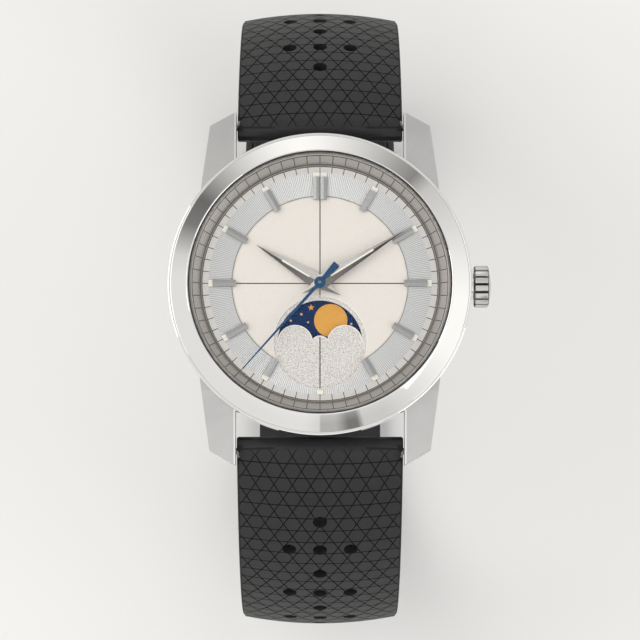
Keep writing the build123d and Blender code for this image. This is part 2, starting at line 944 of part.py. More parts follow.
def caseback_gasket():
    """Seal in the groove of the case back's flange, under the case."""
    return plain_ring(seal_outer, seal_inner, back_flange - seal_depth, back_flange)


# Crown and stem
def crown_tube():
    """Tube pressed into the case for the stem."""
    inner = collar_inner_radius + tube_setback
    tube = rod(tube_radius, inner, tube_end, 0, stem_level)
    return tube - thin_rod(tube_bore, inner, tube_end, 0, stem_level)


def crown():
    """Fluted crown with a domed cap and a skirt over the tube."""
    radius = crown_diameter / 2
    end = crown_start + crown_grip
    groove = radius - flute_depth
    points = []
    for flute in range(crown_flutes):
        for share, reach in ((0, radius), (flute_land_share, radius), (flute_middle_share, groove)):
            points.append(polar(reach, 360 * (flute + share) / crown_flutes))
    grip = Pos(0, 0, crown_start) * extrude(make_face(Polyline(*points, close=True)), crown_grip)
    rim = radius - 2 * flute_depth
    body = grip + faceted(dome_outlines(rim, end, crown_cap))
    body -= peg(crown_skirt_bore / 2, crown_start, crown_start + crown_skirt_depth)
    body -= peg(stem_radius, crown_start, stem_end)
    return Pos(0, 0, stem_level) * Rot(0, 90, 0) * body


def crown_gasket():
    """Seal inside the crown's skirt, round the tube."""
    start = crown_start + running_fit
    outer = crown_skirt_bore / 2
    inner = tube_radius + running_fit
    end = start + crown_seal_width
    return thin_rod(outer, start, end, 0, stem_level) - thin_rod(inner, start, end, 0, stem_level)


def stem():
    """Winding stem, from the channel in the mainplate into the crown."""
    return thin_rod(stem_radius, stem_inner_end + crown_travel, stem_end, 0, stem_level)


def winding_pinion():
    """Toothed pinion round the stem."""
    pinion_module = 2 * pinion_radius / (pinion_teeth + 2 * tip_share)
    outline = gear_outline(pinion_teeth, pinion_module, 0)
    place = Plane((pinion_inner, 0, stem_level), x_dir=(0, 1, 0), z_dir=(1, 0, 0))
    body = place * extrude(outline, pinion_length)
    return body - thin_rod(stem_radius + running_fit, 0, case_radius, 0, stem_level)


# Strap
strap_centre_level = bar_level - sqrt(strap_radius**2 - bar_place**2)
bar_angle = degrees(asin(bar_place / strap_radius))
bend_length = strap_radius * radians(strap_bend_angle - bar_angle)
bend_shift = strap_radius - strap_bottom_radius
bottom_centre_y = bend_shift * sin(radians(strap_bend_angle))
bottom_centre_level = strap_centre_level + bend_shift * cos(radians(strap_bend_angle))
straight_start = bend_length + strap_bottom_radius * radians(180 - strap_bend_angle)
buckle_half_length = straight_start - buckle_end_setback
tail_half_length = straight_start + tail_overlap
hole_start = strap_radius * radians(hole_first_angle - bar_angle)
hole_step = strap_radius * radians(hole_step_angle)
floor_level = bottom_centre_level - strap_bottom_radius - strap_outer


def strap_plane(length):
    """Plane across the strap's middle line at a length from the spring bar, facing outwards."""
    if length < bend_length:
        angle = bar_angle + degrees(length / strap_radius)
        centre_y, centre_level, radius = 0, strap_centre_level, strap_radius
    else:
        angle = min(strap_bend_angle + degrees((length - bend_length) / strap_bottom_radius), 180)
        centre_y, centre_level, radius = bottom_centre_y, bottom_centre_level, strap_bottom_radius
    along = max(length - straight_start, 0)
    out_y, out_z = sin(radians(angle)), cos(radians(angle))
    origin = (0, centre_y + radius * out_y - along, centre_level + radius * out_z)
    return Plane(origin, x_dir=(1, 0, 0), z_dir=(0, out_y, out_z))


def across_strap(length):
    """Plane at a length, whose X runs across the strap and whose Y points outwards."""
    plane = strap_plane(length)
    return Plane(plane.origin, x_dir=(1, 0, 0), z_dir=-plane.y_dir)


def strap_corners(length):
    """Corners of the crowned cross-section at a length. The strap thins from the bar to its second bend."""
    depth = strap_inner + (strap_end_inner - strap_inner) * min(length / bend_length, 1)
    right = [(strap_half_width * share, strap_outer - strap_crown * share**2) for share in crown_shares]
    left = [(-across, height) for across, height in reversed(right[1:])]
    corners = left + right + [(strap_half_width, -depth), (-strap_half_width, -depth)]
    plane = across_strap(length)
    return [plane.from_local_coords((across, height, 0)) for across, height in corners]


def strap_stations(length):
    """Lengths at which the facets of a strap half meet."""
    upper = [bend_length * step / upper_facets for step in range(upper_facets)]
    lower_length = straight_start - bend_length
    lower = [bend_length + lower_length * step / lower_facets for step in range(lower_facets + 1)]
    return [station for station in upper + lower if station < length] + [length]


def bent(section, length, sweep):
    """Sweeps a cross-section round the bend that it starts on, from a length over an angle."""
    bottom = length >= bend_length
    centre = (0, bottom_centre_y, bottom_centre_level) if bottom else (0, 0, strap_centre_level)
    return revolve(across_strap(length) * section, Axis(centre, (-1, 0, 0)), sweep)


def half_width_at(level, end_width):
    """Half of the strap's width at a level."""
    knee = strap_knee_width / 2
    if level > strap_centre_level:
        share = (level - strap_centre_level) / (bar_level - strap_centre_level)
        return knee + (strap_half_width - knee) * min(share, 1)
    share = (strap_centre_level - level) / (strap_centre_level - floor_level)
    return knee + (end_width / 2 - knee) * share


def taper_block(end_width):
    """Block that narrows the strap towards its end."""
    depth = strap_radius + strap_outer + overrun
    levels = (bar_level + 2 * strap_bulb, bar_level, strap_centre_level, floor_level - overrun)
    right = [(half_width_at(level, end_width), level) for level in levels]
    left = [(-across, level) for across, level in reversed(right)]
    outline = make_face(Polyline(*(right + left), close=True))
    return Plane.XZ * Pos(0, 0, -depth) * extrude(outline, 2 * depth)


def hole_at(length, across):
    """Round hole through the strap."""
    outline = RegularPolygon(hole_diameter / 2, hole_sides)
    return strap_plane(length) * Pos(across, 0, -strap_bulb) * extrude(outline, 3 * strap_bulb)


def strap_half(end_width, length):
    """Strap half towards 12: a bulb on the spring bar, then two bends and a straight stretch."""
    half = faceted([strap_corners(station) for station in strap_stations(length)])
    half += thin_rod(strap_bulb, -strap_half_width, strap_half_width, bar_place, bar_level, rod_sides)
    half -= thin_rod(bar_radius + bar_fit, -lug_gap, lug_gap, bar_place, bar_level)
    half &= taper_block(end_width)
    for row in range(hole_rows):
        for across in (-hole_side, 0, hole_side) if row % 2 else (0,):
            half -= hole_at(hole_start + row * hole_step, across)
    return half


def strap_buckle_half():
    """Half that carries the buckle, with an eye for its bar and a slot for the tang."""
    half = strap_half(buckle_end_width, buckle_half_length)
    end = strap_plane(buckle_half_length)
    width = 2 * half_width_at(end.origin.Z, buckle_end_width)
    y, z = end.origin.Y, end.origin.Z
    half += thin_rod(strap_end_round, -width / 2, width / 2, y, z, rod_sides)
    half -= thin_rod(buckle_bar_radius + bar_fit, -width, width, y, z)
    side = tongue_slot_width / 2
    slot = box_between(-side, side, -tongue_slot_depth, strap_end_round + overrun, -strap_bulb, strap_bulb)
    return half - end * slot


def strap_tail_half():
    """Half with the free end, its rounded tip and the holes for the tang."""
    half = strap_half(tail_end_width, tail_half_length)
    for number in range(tail_holes):
        half -= hole_at(straight_start - tail_hole_lead + number * tail_hole_step, 0)
    tip = strap_plane(tail_half_length).origin.Y
    side = tail_end_width
    shoulder = tip + tail_tip_round
    far = strap_radius + strap_outer + strap_radius
    outline = make_face(
        Polyline((side / 2, shoulder), (side, shoulder), (side, far), (-side, far), (-side, shoulder))
        + Line((-side, shoulder), (-side / 2, shoulder))
        + ThreePointArc((-side / 2, shoulder), (0, tip), (side / 2, shoulder))
    )
    half &= Pos(0, 0, floor_level - overrun) * extrude(outline, bar_level - floor_level + far)
    half -= box_between(-side, side, -far, far, floor_level - overrun, floor_level + stand_flat)
    return mirror(half, Plane.XZ)


def spring_bar(along):
    """Bar with a thinner tip at each end, between the lugs."""
    half = lug_gap / 2 - strap_side_gap
    bar = rod(bar_radius, -half, half, along * bar_place, bar_level)
    reach = lug_gap / 2 + bar_tip_length
    return bar + thin_rod(bar_tip_radius, -reach, reach, along * bar_place, bar_level)


# Buckle and keepers
buckle_bar_plane = strap_plane(buckle_half_length)
buckle_location = Location(buckle_bar_plane) * Rot(-buckle_lift, 0, 0)
buckle_inner = half_width_at(buckle_bar_plane.origin.Z, buckle_end_width) + buckle_side_gap
buckle_outer = buckle_inner + buckle_rail


def buckle_frame():
    """U-shaped frame, turned on its bar."""
    half = buckle_thickness / 2
    outer = box_between(-buckle_outer, buckle_outer, -buckle_rear, buckle_length, -half, half)
    outer = chamfer(outer.edges().filter_by(Axis.Z), buckle_rear)
    inner_end = buckle_length - buckle_front
    frame = outer - box_between(
        -buckle_inner, buckle_inner, -buckle_rear - overrun, inner_end, -half - overrun, half + overrun
    )
    frame -= rod(buckle_bar_radius, -buckle_outer - overrun, buckle_outer + overrun, 0, 0)
    return buckle_location * frame


def buckle_bar():
    """Bar pressed into the frame's rails."""
    return buckle_location * rod(buckle_bar_radius, -buckle_outer, buckle_outer, 0, 0)


def buckle_tang():
    """Tang with a collar round the bar, lying on the frame's front."""
    level = buckle_thickness / 2 + tang_radius + running_fit
    collar = thin_rod(tang_collar_radius, -tang_collar_length / 2, tang_collar_length / 2, 0, 0, rod_sides)
    pin_plane = Plane((0, 0, level), x_dir=(1, 0, 0), z_dir=(0, 1, 0))
    pin = pin_plane * extrude(RegularPolygon(tang_radius, peg_sides), buckle_length)
    web = box_between(-tang_radius, tang_radius, 0, tang_collar_radius, 0, level)
    tang = collar + pin + web
    return buckle_location * (tang - rod(buckle_bar_radius + bar_fit, -lug_gap, lug_gap, 0, 0))


def keeper(place, travel, gap):
    """Loop round the strap with room for the tail, wide enough for its travel."""
    bottom = place >= bend_length
    radius = strap_bottom_radius if bottom else strap_radius
    widest = strap_plane(place - strap_radius * radians(travel)).origin.Z
    inner = half_width_at(widest, buckle_end_width) + keeper_gap
    depth = strap_end_inner if bottom else strap_inner
    low, high = -depth - gap, strap_outer + keeper_room
    outer_face = Pos(0, (low + high) / 2) * Rectangle(2 * (inner + keeper_wall), high - low + 2 * keeper_wall)
    hole = Pos(0, (low + high) / 2) * Rectangle(2 * inner, high - low)
    return bent(outer_face - hole, place, degrees(keeper_width / radius))


def fixed_keeper():
    """Keeper moulded to the underside of the buckle half."""
    return keeper(buckle_half_length - fixed_keeper_setback, 0, 0) - strap_buckle_half()


def free_keeper():
    """Keeper that slides along the buckle half."""
    return keeper(buckle_half_length - free_keeper_setback, free_keeper_travel, keeper_gap)


os.makedirs("parts", exist_ok=True)
node("case_body", case_body())
node("bezel", bezel())
node("crystal", crystal())
node("crystal_gasket", crystal_gasket())
node("rehaut", rehaut())
node("dial_plate", dial_plate())
node("moon_plate", moon_plate())
node("hour_markers", *hour_markers())
node("lume_pips", *lume_pips())
node("hour_hand", hour_hand())
node("minute_hand", minute_hand())
node("seconds_hand", seconds_hand())
node("cannon_pinion", cannon_pinion())
node("minute_wheel", minute_wheel())
node("hour_wheel", hour_wheel())
node("day_wheel", day_wheel())
node("reduction_wheel", reduction_wheel())
node("moon_idler", moon_idler())
node("moon_disc", moon_disc())
node("moon_figures", *moon_figures())
node("module_posts", *module_posts())
node("mainplate", mainplate())
node("movement_ring", movement_ring())
node("case_clamps", *case_clamps())
node("clamp_screws", *clamp_screws())
node("barrel_bridge", barrel_bridge())
node("train_bridge", train_bridge())
node("bridge_screws", *bridge_screws())
node("barrel", barrel())
node("balance_wheel", balance_wheel())
node("hairspring", hairspring())
node("balance_cock", balance_cock())
node("rotor", rotor())
node("rotor_bearing", rotor_bearing())
node("seconds_arbor", seconds_arbor())
node("caseback_ring", caseback_ring())
node("caseback_glass", caseback_glass())
node("caseback_gasket", caseback_gasket())
node("crown_tube", crown_tube())
node("crown", crown())
node("crown_gasket", crown_gasket())
node("stem", stem())
node("winding_pinion", winding_pinion())
node("strap_buckle_half", strap_buckle_half())
node("strap_tail_half", strap_tail_half())
node("spring_bar_12", spring_bar(1))
node("spring_bar_6", spring_bar(-1))
node("buckle_frame", buckle_frame())
node("buckle_bar", buckle_bar())
node("buckle_tang", buckle_tang())
node("fixed_keeper", fixed_keeper())
node("free_keeper", free_keeper())
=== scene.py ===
"""Looks of the moon phase watch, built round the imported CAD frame. Lengths are in millimetres until a mesh is made."""

import math

import bmesh
import bpy
import numpy as np
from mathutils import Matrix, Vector
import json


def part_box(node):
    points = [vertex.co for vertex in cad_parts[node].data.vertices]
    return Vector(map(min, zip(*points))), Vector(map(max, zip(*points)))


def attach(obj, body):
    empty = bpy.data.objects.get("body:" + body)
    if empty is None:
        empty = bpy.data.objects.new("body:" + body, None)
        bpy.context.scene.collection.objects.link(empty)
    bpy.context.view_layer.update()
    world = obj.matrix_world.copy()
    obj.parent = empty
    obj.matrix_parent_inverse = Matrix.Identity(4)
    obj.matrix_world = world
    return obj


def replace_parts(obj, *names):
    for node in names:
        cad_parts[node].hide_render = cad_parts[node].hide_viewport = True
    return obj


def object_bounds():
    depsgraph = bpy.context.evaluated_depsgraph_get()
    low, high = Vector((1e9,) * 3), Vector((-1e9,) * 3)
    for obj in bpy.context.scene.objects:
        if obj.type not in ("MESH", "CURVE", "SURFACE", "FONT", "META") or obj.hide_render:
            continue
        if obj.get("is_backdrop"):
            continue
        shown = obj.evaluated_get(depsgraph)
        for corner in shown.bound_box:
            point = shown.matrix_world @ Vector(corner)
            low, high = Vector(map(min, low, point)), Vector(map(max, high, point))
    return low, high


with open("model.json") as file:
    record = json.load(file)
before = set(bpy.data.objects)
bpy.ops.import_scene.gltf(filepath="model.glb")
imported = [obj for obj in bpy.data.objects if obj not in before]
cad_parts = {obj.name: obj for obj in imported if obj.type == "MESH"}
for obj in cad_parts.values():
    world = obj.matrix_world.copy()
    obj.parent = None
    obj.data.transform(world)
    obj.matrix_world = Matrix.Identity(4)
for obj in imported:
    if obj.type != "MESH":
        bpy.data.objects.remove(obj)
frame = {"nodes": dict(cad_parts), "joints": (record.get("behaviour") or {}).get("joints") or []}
cad_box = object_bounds()
nodes = frame["nodes"]
joints = {joint["name"]: joint for joint in frame["joints"]}
MM = 0.001
HEAD = "watch_head"


def low(node):
    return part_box(node)[0].z / MM


def top(node):
    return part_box(node)[1].z / MM


def joint_place(name):
    return [c / MM for c in joints[name]["pos_m"]]


dial_top, plate_top, disc_top = top("dial_plate"), top("moon_plate"), top("moon_disc")
centre_top = dial_top - 0.08
crown_rim, stem_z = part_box("crown")[1].y / MM, joint_place("crown_turn")[2]
RAYS = 720
HOUR_ANGLE, MINUTE_ANGLE, SECONDS_ANGLE = 301.0, 58.1, 221.6


# Node graphs
class Nodes:
    """A node tree, with short calls for the nodes that repeat."""

    def __init__(self, tree):
        self.tree = tree

    def node(self, kind, *inputs, **named):
        """Node whose inputs come in order or by their capitalised names, and its settings by theirs."""
        made = self.tree.nodes.new("ShaderNode" + kind)
        for key, value in named.items():
            if key[0].isupper():
                self.feed(made.inputs[key.replace("_", " ")], value)
            else:
                setattr(made, key, value)
        for socket, value in zip(made.inputs, inputs):
            self.feed(socket, value)
        return made

    def feed(self, socket, value):
        if isinstance(value, bpy.types.NodeSocket):
            self.tree.links.new(value, socket)
        else:
            socket.default_value = value

    def math(self, operation, *values):
        return self.node("Math", *values, operation=operation).outputs[0]

    def vector(self, x, y=0.0, z=0.0):
        return self.node("CombineXYZ", x, y, z).outputs[0]

    def length(self, vector):
        return self.node("VectorMath", vector, operation="LENGTH").outputs["Value"]

    def noise(self, vector, scale=1.0, detail=3.0):
        return self.node("TexNoise", Vector=vector, Scale=scale, Detail=detail).outputs["Fac"]

    def lines(self, value, per_mm, detail=4.0):
        """Uneven lines across the direction in which a value grows."""
        return self.noise(self.vector(self.math("MULTIPLY", value, per_mm)), 1.0, detail)

    def span(self, value, start, end, source=(0.3, 0.7)):
        """Turns the source range into start to end."""
        made = self.node("MapRange", Value=value, From_Min=source[0], From_Max=source[1], To_Min=start, To_Max=end)
        return made.outputs["Result"]

    def share(self, value, none, full):
        """0 where a value is none and 1 where it is full."""
        return self.span(value, 0.0, 1.0, (none, full))

    def mix(self, share, first, second):
        made = self.node("Mix", data_type="RGBA")
        self.feed(made.inputs["Factor"], share)
        for socket, color in zip([i for i in made.inputs if i.type == "RGBA"], (first, second)):
            self.feed(socket, (*color, 1.0) if isinstance(color, tuple) else color)
        return [o for o in made.outputs if o.type == "RGBA"][0]


class Graph(Nodes):
    """A material's nodes, which end in its one shader."""

    def __init__(self, name, color, metallic=0.0, roughness=0.5, **sockets):
        self.material = bpy.data.materials.new(name)
        self.material.use_nodes = True
        super().__init__(self.material.node_tree)
        self.shader = self.tree.nodes["Principled BSDF"]
        sockets = {"Base_Color": (*color, 1.0), "Metallic": metallic, "Roughness": roughness, **sockets}
        for socket, value in sockets.items():
            self.shader.inputs[socket.replace("_", " ")].default_value = value
        self.at = None

    def place(self):
        """Place on the piece, in millimetres."""
        if self.at is None:
            coordinates = self.node("TexCoord").outputs["Object"]
            self.at = self.node("VectorMath", coordinates, (1 / MM,) * 3, operation="MULTIPLY").outputs[0]
        return self.at

    def parts(self):
        return self.node("SeparateXYZ", self.place()).outputs

    def stretch(self, scale):
        return self.node("VectorMath", self.place(), scale, operation="MULTIPLY").outputs[0]

    def radius(self):
        """Distance from the watch's axis."""
        x, y, z = self.parts()
        return self.length(self.vector(x, y))

    def link(self, socket, value):
        self.tree.links.new(value, self.shader.inputs[socket])

    def tint(self, share, first, second):
        self.link("Base Color", self.mix(share, first, second))

    def uneven(self, color, shade, scale):
        """Colour that is a little darker in places."""
        self.tint(self.span(self.noise(self.place(), scale), 0.0, 1.0), dimmed(color, shade), color)

    def relief(self, height, depth, strength=1.0):
        """Bumps of a depth in millimetres, and the finished material."""
        made = self.node("Bump", Strength=strength, Distance=depth * MM, Height=height)
        self.link("Normal", made.outputs["Normal"])
        return self.material

    def surface(self, height, roughness, depth):
        """Roughness and bumps that both follow a height, and the finished material."""
        self.link("Roughness", self.span(height, *roughness))
        return self.relief(height, depth)


def dimmed(color, share):
    return tuple(c * share for c in color)


def brushed(name, color, stretch, roughness, depth):
    """Metal with fine lines along the axis that has the small stretch."""
    g = Graph(name, color, metallic=1.0)
    lines = g.noise(g.stretch(stretch), 1.0, 4.0)
    g.uneven(color, 0.93, 0.35)
    return g.surface(lines, roughness, depth)


def turned_metal(name, color, roughness=(0.2, 0.34), per_mm=22.0):
    """Metal with fine lines round the watch's axis."""
    g = Graph(name, color, metallic=1.0)
    return g.surface(g.lines(g.radius(), per_mm), roughness, 0.003)


def polished(name, color, roughness=(0.02, 0.06)):
    """Mirror finish with faint handling marks."""
    g = Graph(name, color, metallic=1.0)
    g.link("Roughness", g.span(g.noise(g.stretch((6.0, 1.6, 6.0)), 1.0, 5.0), *roughness))
    return g.relief(g.noise(g.place(), 0.25, 1.0), 0.004, 0.4)


def painted(name, color, roughness=0.4, metallic=0.0, grain=14.0, depth=0.002, shade=0.92, **sockets):
    """Lacquer or print with a fine grain and a slightly uneven tone."""
    g = Graph(name, color, metallic=metallic, **sockets)
    g.uneven(color, shade, grain * 0.2)
    return g.surface(g.noise(g.place(), grain), (roughness * 0.85, roughness * 1.15), depth)


def rubber(name, color, roughness=(0.42, 0.6)):
    g = Graph(name, color, Specular_IOR_Level=0.32)
    g.uneven(color, 0.8, 0.5)
    return g.surface(g.noise(g.place(), 9.0, 6.0), roughness, 0.012)


def clear_glass(name):
    """Thin coated crystal: mostly clear, with a faint reflection that grows towards its rim."""
    g = Graph(name, (1.0, 1.0, 1.0), roughness=0.0, IOR=1.45, Transmission_Weight=1.0)
    clear = g.node("BsdfTransparent", Color=(0.99, 0.99, 0.99, 1.0))
    gloss = g.node("BsdfGlossy", Roughness=0.02)
    facing = g.node("LayerWeight", Blend=0.5).outputs["Facing"]
    share = g.math("MULTIPLY_ADD", g.math("POWER", facing, 5.0), 0.6, 0.012)
    mixed = g.node("MixShader", share, clear.outputs[0], gloss.outputs[0])
    g.tree.links.new(mixed.outputs[0], g.tree.nodes["Material Output"].inputs["Surface"])
    return g.material


def facet_shaded_hand(name, angle, painted_highlight_side):
    """Hand with a painted highlight on one facet and painted shade on the other, split along its ridge, and painted
    shade that darkens both towards the tip.
    """
    g = Graph(name, (0.6, 0.58, 0.55), metallic=1.0)
    x, y, z = g.parts()
    s, c = polar(1.0, angle)
    aside = g.math("SUBTRACT", g.math("MULTIPLY", x, c * painted_highlight_side), g.math("MULTIPLY", y, s * painted_highlight_side))
    along = g.math("ADD", g.math("MULTIPLY", x, s), g.math("MULTIPLY", y, c))
    # Painted shade on the dark facet and a painted highlight on the light one, both darker towards the tip
    dark = g.mix(g.share(along, 1.0, 8.5), (0.21, 0.2, 0.19), (0.05, 0.045, 0.04))
    light = g.mix(g.share(along, 5.0, 9.0), (0.68, 0.66, 0.63), (0.4, 0.38, 0.36))
    lines = g.noise(g.vector(g.math("MULTIPLY", aside, 30.0), g.math("MULTIPLY", along, 1.5)))
    g.tint(g.share(aside, -0.02, 0.02), dark, light)
    return g.surface(lines, (0.18, 0.3), 0.001)


def engine_turned(name, color):
    """Silvered ring with engraved rays, with painted shade down in the valleys between them."""
    g = Graph(name, color, metallic=0.35)
    x, y, z = g.parts()
    turn = g.math("MULTIPLY", g.math("ARCTAN2", x, y), RAYS / (4 * math.pi))
    ridge = g.math("ABSOLUTE", g.math("SUBTRACT", g.math("FRACT", turn), 0.5))
    # Painted shade: darker colour in the valleys between the rays
    g.tint(g.share(ridge, 0.04, 0.3), color, dimmed(color, 0.6))
    return g.surface(g.noise(g.place(), 12.0), (0.26, 0.38), 0.001)


def fluted_metal(name, color):
    """Polished crown, with painted shade down in its flutes."""
    g = Graph(name, color, metallic=1.0)
    x, y, z = g.parts()
    radius = g.length(g.vector(y, g.math("SUBTRACT", z, stem_z)))
    outside = g.share(radius, crown_rim - 0.42, crown_rim - 0.36)
    sunk = g.span(radius, 1.0, 0.0, (crown_rim - 0.14, crown_rim - 0.04))
    # Painted shade: darker colour down in the flutes near the rim
    g.tint(g.math("MULTIPLY", outside, sunk), color, dimmed(color, 0.18))
    return g.surface(g.noise(g.stretch((1.5, 9.0, 9.0)), 1.0, 4.0), (0.08, 0.18), 0.001)


def piped_wheel(name, level):
    """Gilt wheel whose pipe is silvered above a level."""
    g = Graph(name, GILT, metallic=1.0)
    above = g.share(g.parts()[2], level - 0.05, level + 0.05)
    rings = g.lines(g.radius(), 14.0)
    g.tint(above, GILT, (0.62, 0.59, 0.55))
    return g.surface(rings, (0.2, 0.34), 0.003)


def moon_sand(name):
    """Pale plate with a coarse sanded grain."""
    g = Graph(name, (0.6, 0.57, 0.53), metallic=0.1, Specular_IOR_Level=0.3)
    grain = g.noise(g.place(), 8.0, 4.0)
    specks = g.node("TexVoronoi", Vector=g.place(), Scale=6.5).outputs["Distance"]
    tone = g.mix(g.share(grain, 0.38, 0.62), (0.44, 0.41, 0.385), (0.84, 0.81, 0.775))
    g.tint(g.span(specks, 0.5, 0.0, (0.1, 0.6)), tone, (0.95, 0.93, 0.9))
    return g.relief(grain, 0.06)


def striped(name, color, pitch=1.5):
    """Plate with broad polished stripes across it."""
    g = Graph(name, color, metallic=1.0)
    x, y, z = g.parts()
    across = g.math("ADD", g.math("MULTIPLY", x, 0.8), g.math("MULTIPLY", y, 0.6))
    saw = g.math("FRACT", g.math("DIVIDE", across, pitch))
    uneven_saw = g.math("ADD", saw, g.math("MULTIPLY", g.lines(across, 28.0, 3.0), 0.3))
    g.link("Roughness", g.span(uneven_saw, 0.18, 0.36, (0.0, 1.3)))
    g.tint(saw, dimmed(color, 0.78), color)
    return g.relief(saw, 0.004)


def pearled(name, color):
    """Plate ground with overlapping small circles."""
    g = Graph(name, color, metallic=1.0)
    circles = g.node("TexVoronoi", Vector=g.place(), Scale=1.1, Randomness=0.15).outputs["Distance"]
    g.link("Roughness", g.span(g.lines(circles, 26.0, 2.0), 0.2, 0.4))
    return g.relief(circles, 0.02)


def polar(radius, angle, aside=0.0):
    """Place at an angle clockwise from 12, in degrees, and aside of that line."""
    s, c = math.sin(math.radians(angle)), math.cos(math.radians(angle))
    return radius * s + aside * c, radius * c - aside * s


GILT = (0.8, 0.6, 0.27)
M = {
    "case": brushed("case_brushed_steel", (0.56, 0.557, 0.55), (40.0, 1.2, 40.0), (0.26, 0.4), 0.003),
    "mirror": polished("polished_steel", (0.78, 0.775, 0.765)),
    "back": turned_metal("turned_back_steel", (0.62, 0.615, 0.605)),
    "crown": fluted_metal("fluted_crown_steel", (0.6, 0.595, 0.585)),
    "glass": clear_glass("sapphire_crystal"),
    "seal": rubber("seal_rubber", (0.02, 0.02, 0.02)),
    "tile": rubber("strap_rubber_face", (0.02, 0.02, 0.021)),
    # Darker than the tiles: painted shade in the strap's grooves, along its borders and over the top of its rolled end
    "groove": rubber("strap_rubber_groove_painted_shade", (0.006, 0.006, 0.006), (0.6, 0.75)),
    "flange": painted("grey_flange", (0.4, 0.378, 0.35), 0.36, 0.25),
    "cream": painted("cream_dial_paint", (0.8, 0.755, 0.7), 0.42, 0.08, shade=0.97),
    "silver": engine_turned("guilloche_silver", (0.78, 0.785, 0.785)),
    "track": painted("minute_track_paint", (0.68, 0.66, 0.63), 0.36, 0.2),
    "print": painted("dark_print", (0.03, 0.026, 0.022), 0.5, Specular_IOR_Level=0.3),
    # Lighter than the dial: a painted highlight on the moon window's bevels
    "rim": painted("window_rim_painted_highlight", (0.9, 0.88, 0.84), 0.35),
    # Dark line of painted shade at the step of the dial's recess
    "edge": painted("step_painted_shade", (0.3, 0.285, 0.265), 0.4, 0.2),
    # Dark rings on the flange: painted shade at its foot and under the bezel's edge, and one dark line between
    "groove_line": painted("flange_dark_lines_and_painted_shade", (0.13, 0.12, 0.11), 0.45, 0.2),
    "sand": moon_sand("sanded_moon_plate"),
    "navy": painted("navy_moon_disc", (0.003, 0.026, 0.105), 0.3, Specular_IOR_Level=0.06),
    "gold": painted("gilt_moon", (0.78, 0.39, 0.075), 0.4, 0.15, shade=0.88, Specular_IOR_Level=0.2),
    "star": painted("gilt_stars", (0.88, 0.56, 0.16), 0.4, 0.1),
    "lume": painted("lume_paint", (0.9, 0.87, 0.78), 0.6, depth=0.006),
    # Hands whose facets carry a painted highlight and painted shade
    "hour": facet_shaded_hand("hour_hand_steel", HOUR_ANGLE, 1.0),
    "minute": facet_shaded_hand("minute_hand_steel", MINUTE_ANGLE, -1.0),
    "pipe": piped_wheel("gilt_hour_wheel", dial_top),
    "pin": turned_metal("hand_pin_steel", (0.2, 0.2, 0.2), (0.2, 0.3)),
    "marker": painted("marker_steel", (0.37, 0.375, 0.37), 0.42, 0.6, grain=20.0, depth=0.001, shade=0.95),
    "blue": painted("blued_steel", (0.014, 0.08, 0.2), 0.24, 0.7, shade=0.85),
    "bridge": striped("striped_bridge", (0.6, 0.6, 0.59)),
    "rotor": striped("striped_rotor", (0.66, 0.63, 0.57), 1.8),
    "plate": pearled("pearled_mainplate", (0.62, 0.6, 0.56)),
    "brass": turned_metal("gilt_brass", GILT, per_mm=14.0),
    "holder": turned_metal("holder_ring", (0.6, 0.6, 0.6), (0.3, 0.45)),
    "screw": turned_metal("polished_screw", (0.6, 0.6, 0.62), (0.12, 0.2)),
    "ruby": painted("ruby_jewel", (0.45, 0.01, 0.06), 0.1, Coat_Weight=0.8),
    "bar": polished("spring_bar_steel", (0.2, 0.2, 0.2), (0.25, 0.35)),
    # Near black: painted shade that stands for the screw slots
    "dark": painted("slot_painted_shade", (0.02, 0.02, 0.02), 0.5),
    "floor": painted("floor_paint", (0.83, 0.828, 0.82), 0.8, grain=0.02, depth=0.0, shade=0.985,
                     Specular_IOR_Level=0.1),
}

# Finishes of the CAD nodes that stay
finishes = {
    "case": "case_body", "mirror": "buckle_bar crown_tube stem", "bar": "spring_bar_12 spring_bar_6",
    "seal": "crystal_gasket caseback_gasket crown_gasket", "cream": "dial_plate", "sand": "moon_plate",
    "marker": "hour_markers", "lume": "lume_pips", "navy": "moon_disc", "gold": "moon_figures",
    "plate": "mainplate", "holder": "movement_ring", "bridge": "barrel_bridge train_bridge", "rotor": "rotor",
    "screw": "case_clamps clamp_screws bridge_screws module_posts rotor_bearing seconds_arbor winding_pinion"
             " cannon_pinion balance_cock",
    "pipe": "hour_wheel", "brass": "minute_wheel day_wheel reduction_wheel moon_idler barrel balance_wheel",
    "back": "caseback_ring",
}
for finish, names in finishes.items():
    for name in names.split():
        slots = nodes[name].data.materials
        slots.clear()
        slots.append(M[finish])


# Meshes
def placed(name, data):
    obj = bpy.data.objects.new(name, data)
    bpy.context.scene.collection.objects.link(obj)
    return obj


def drawn(name, points, faces):
    mesh = bpy.data.meshes.new(name)
    mesh.from_pydata(points, [], faces)
    return placed(name, mesh)


def mend(mesh, join=None):
    """Joins points nearer than a distance, or else splits the large faces, and turns the faces outwards."""
    work = bmesh.new()
    work.from_mesh(mesh)
    if join:
        bmesh.ops.remove_doubles(work, verts=work.verts, dist=join)
    else:
        bmesh.ops.triangulate(work, faces=[f for f in work.faces if len(f.verts) > 4])
    bmesh.ops.recalc_face_normals(work, faces=work.faces)
    work.to_mesh(mesh)
    work.free()


def smooth(mesh, angle):
    """Smooths all edges but the sharp ones."""
    for polygon in mesh.polygons:
        polygon.use_smooth = True
    mesh.set_sharp_from_angle(angle=math.radians(angle))


def mesh_piece(name, points, faces, material, body, slot=None, angle=30.0):
    """Makes a piece from points in millimetres and lets it ride on a body."""
    obj = drawn(name, [tuple(c * MM for c in p) for p in points], faces)
    obj.data.materials.append(M[material])
    mend(obj.data, join=1e-7)
    smooth(obj.data, angle)
    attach(obj, body)
    return obj


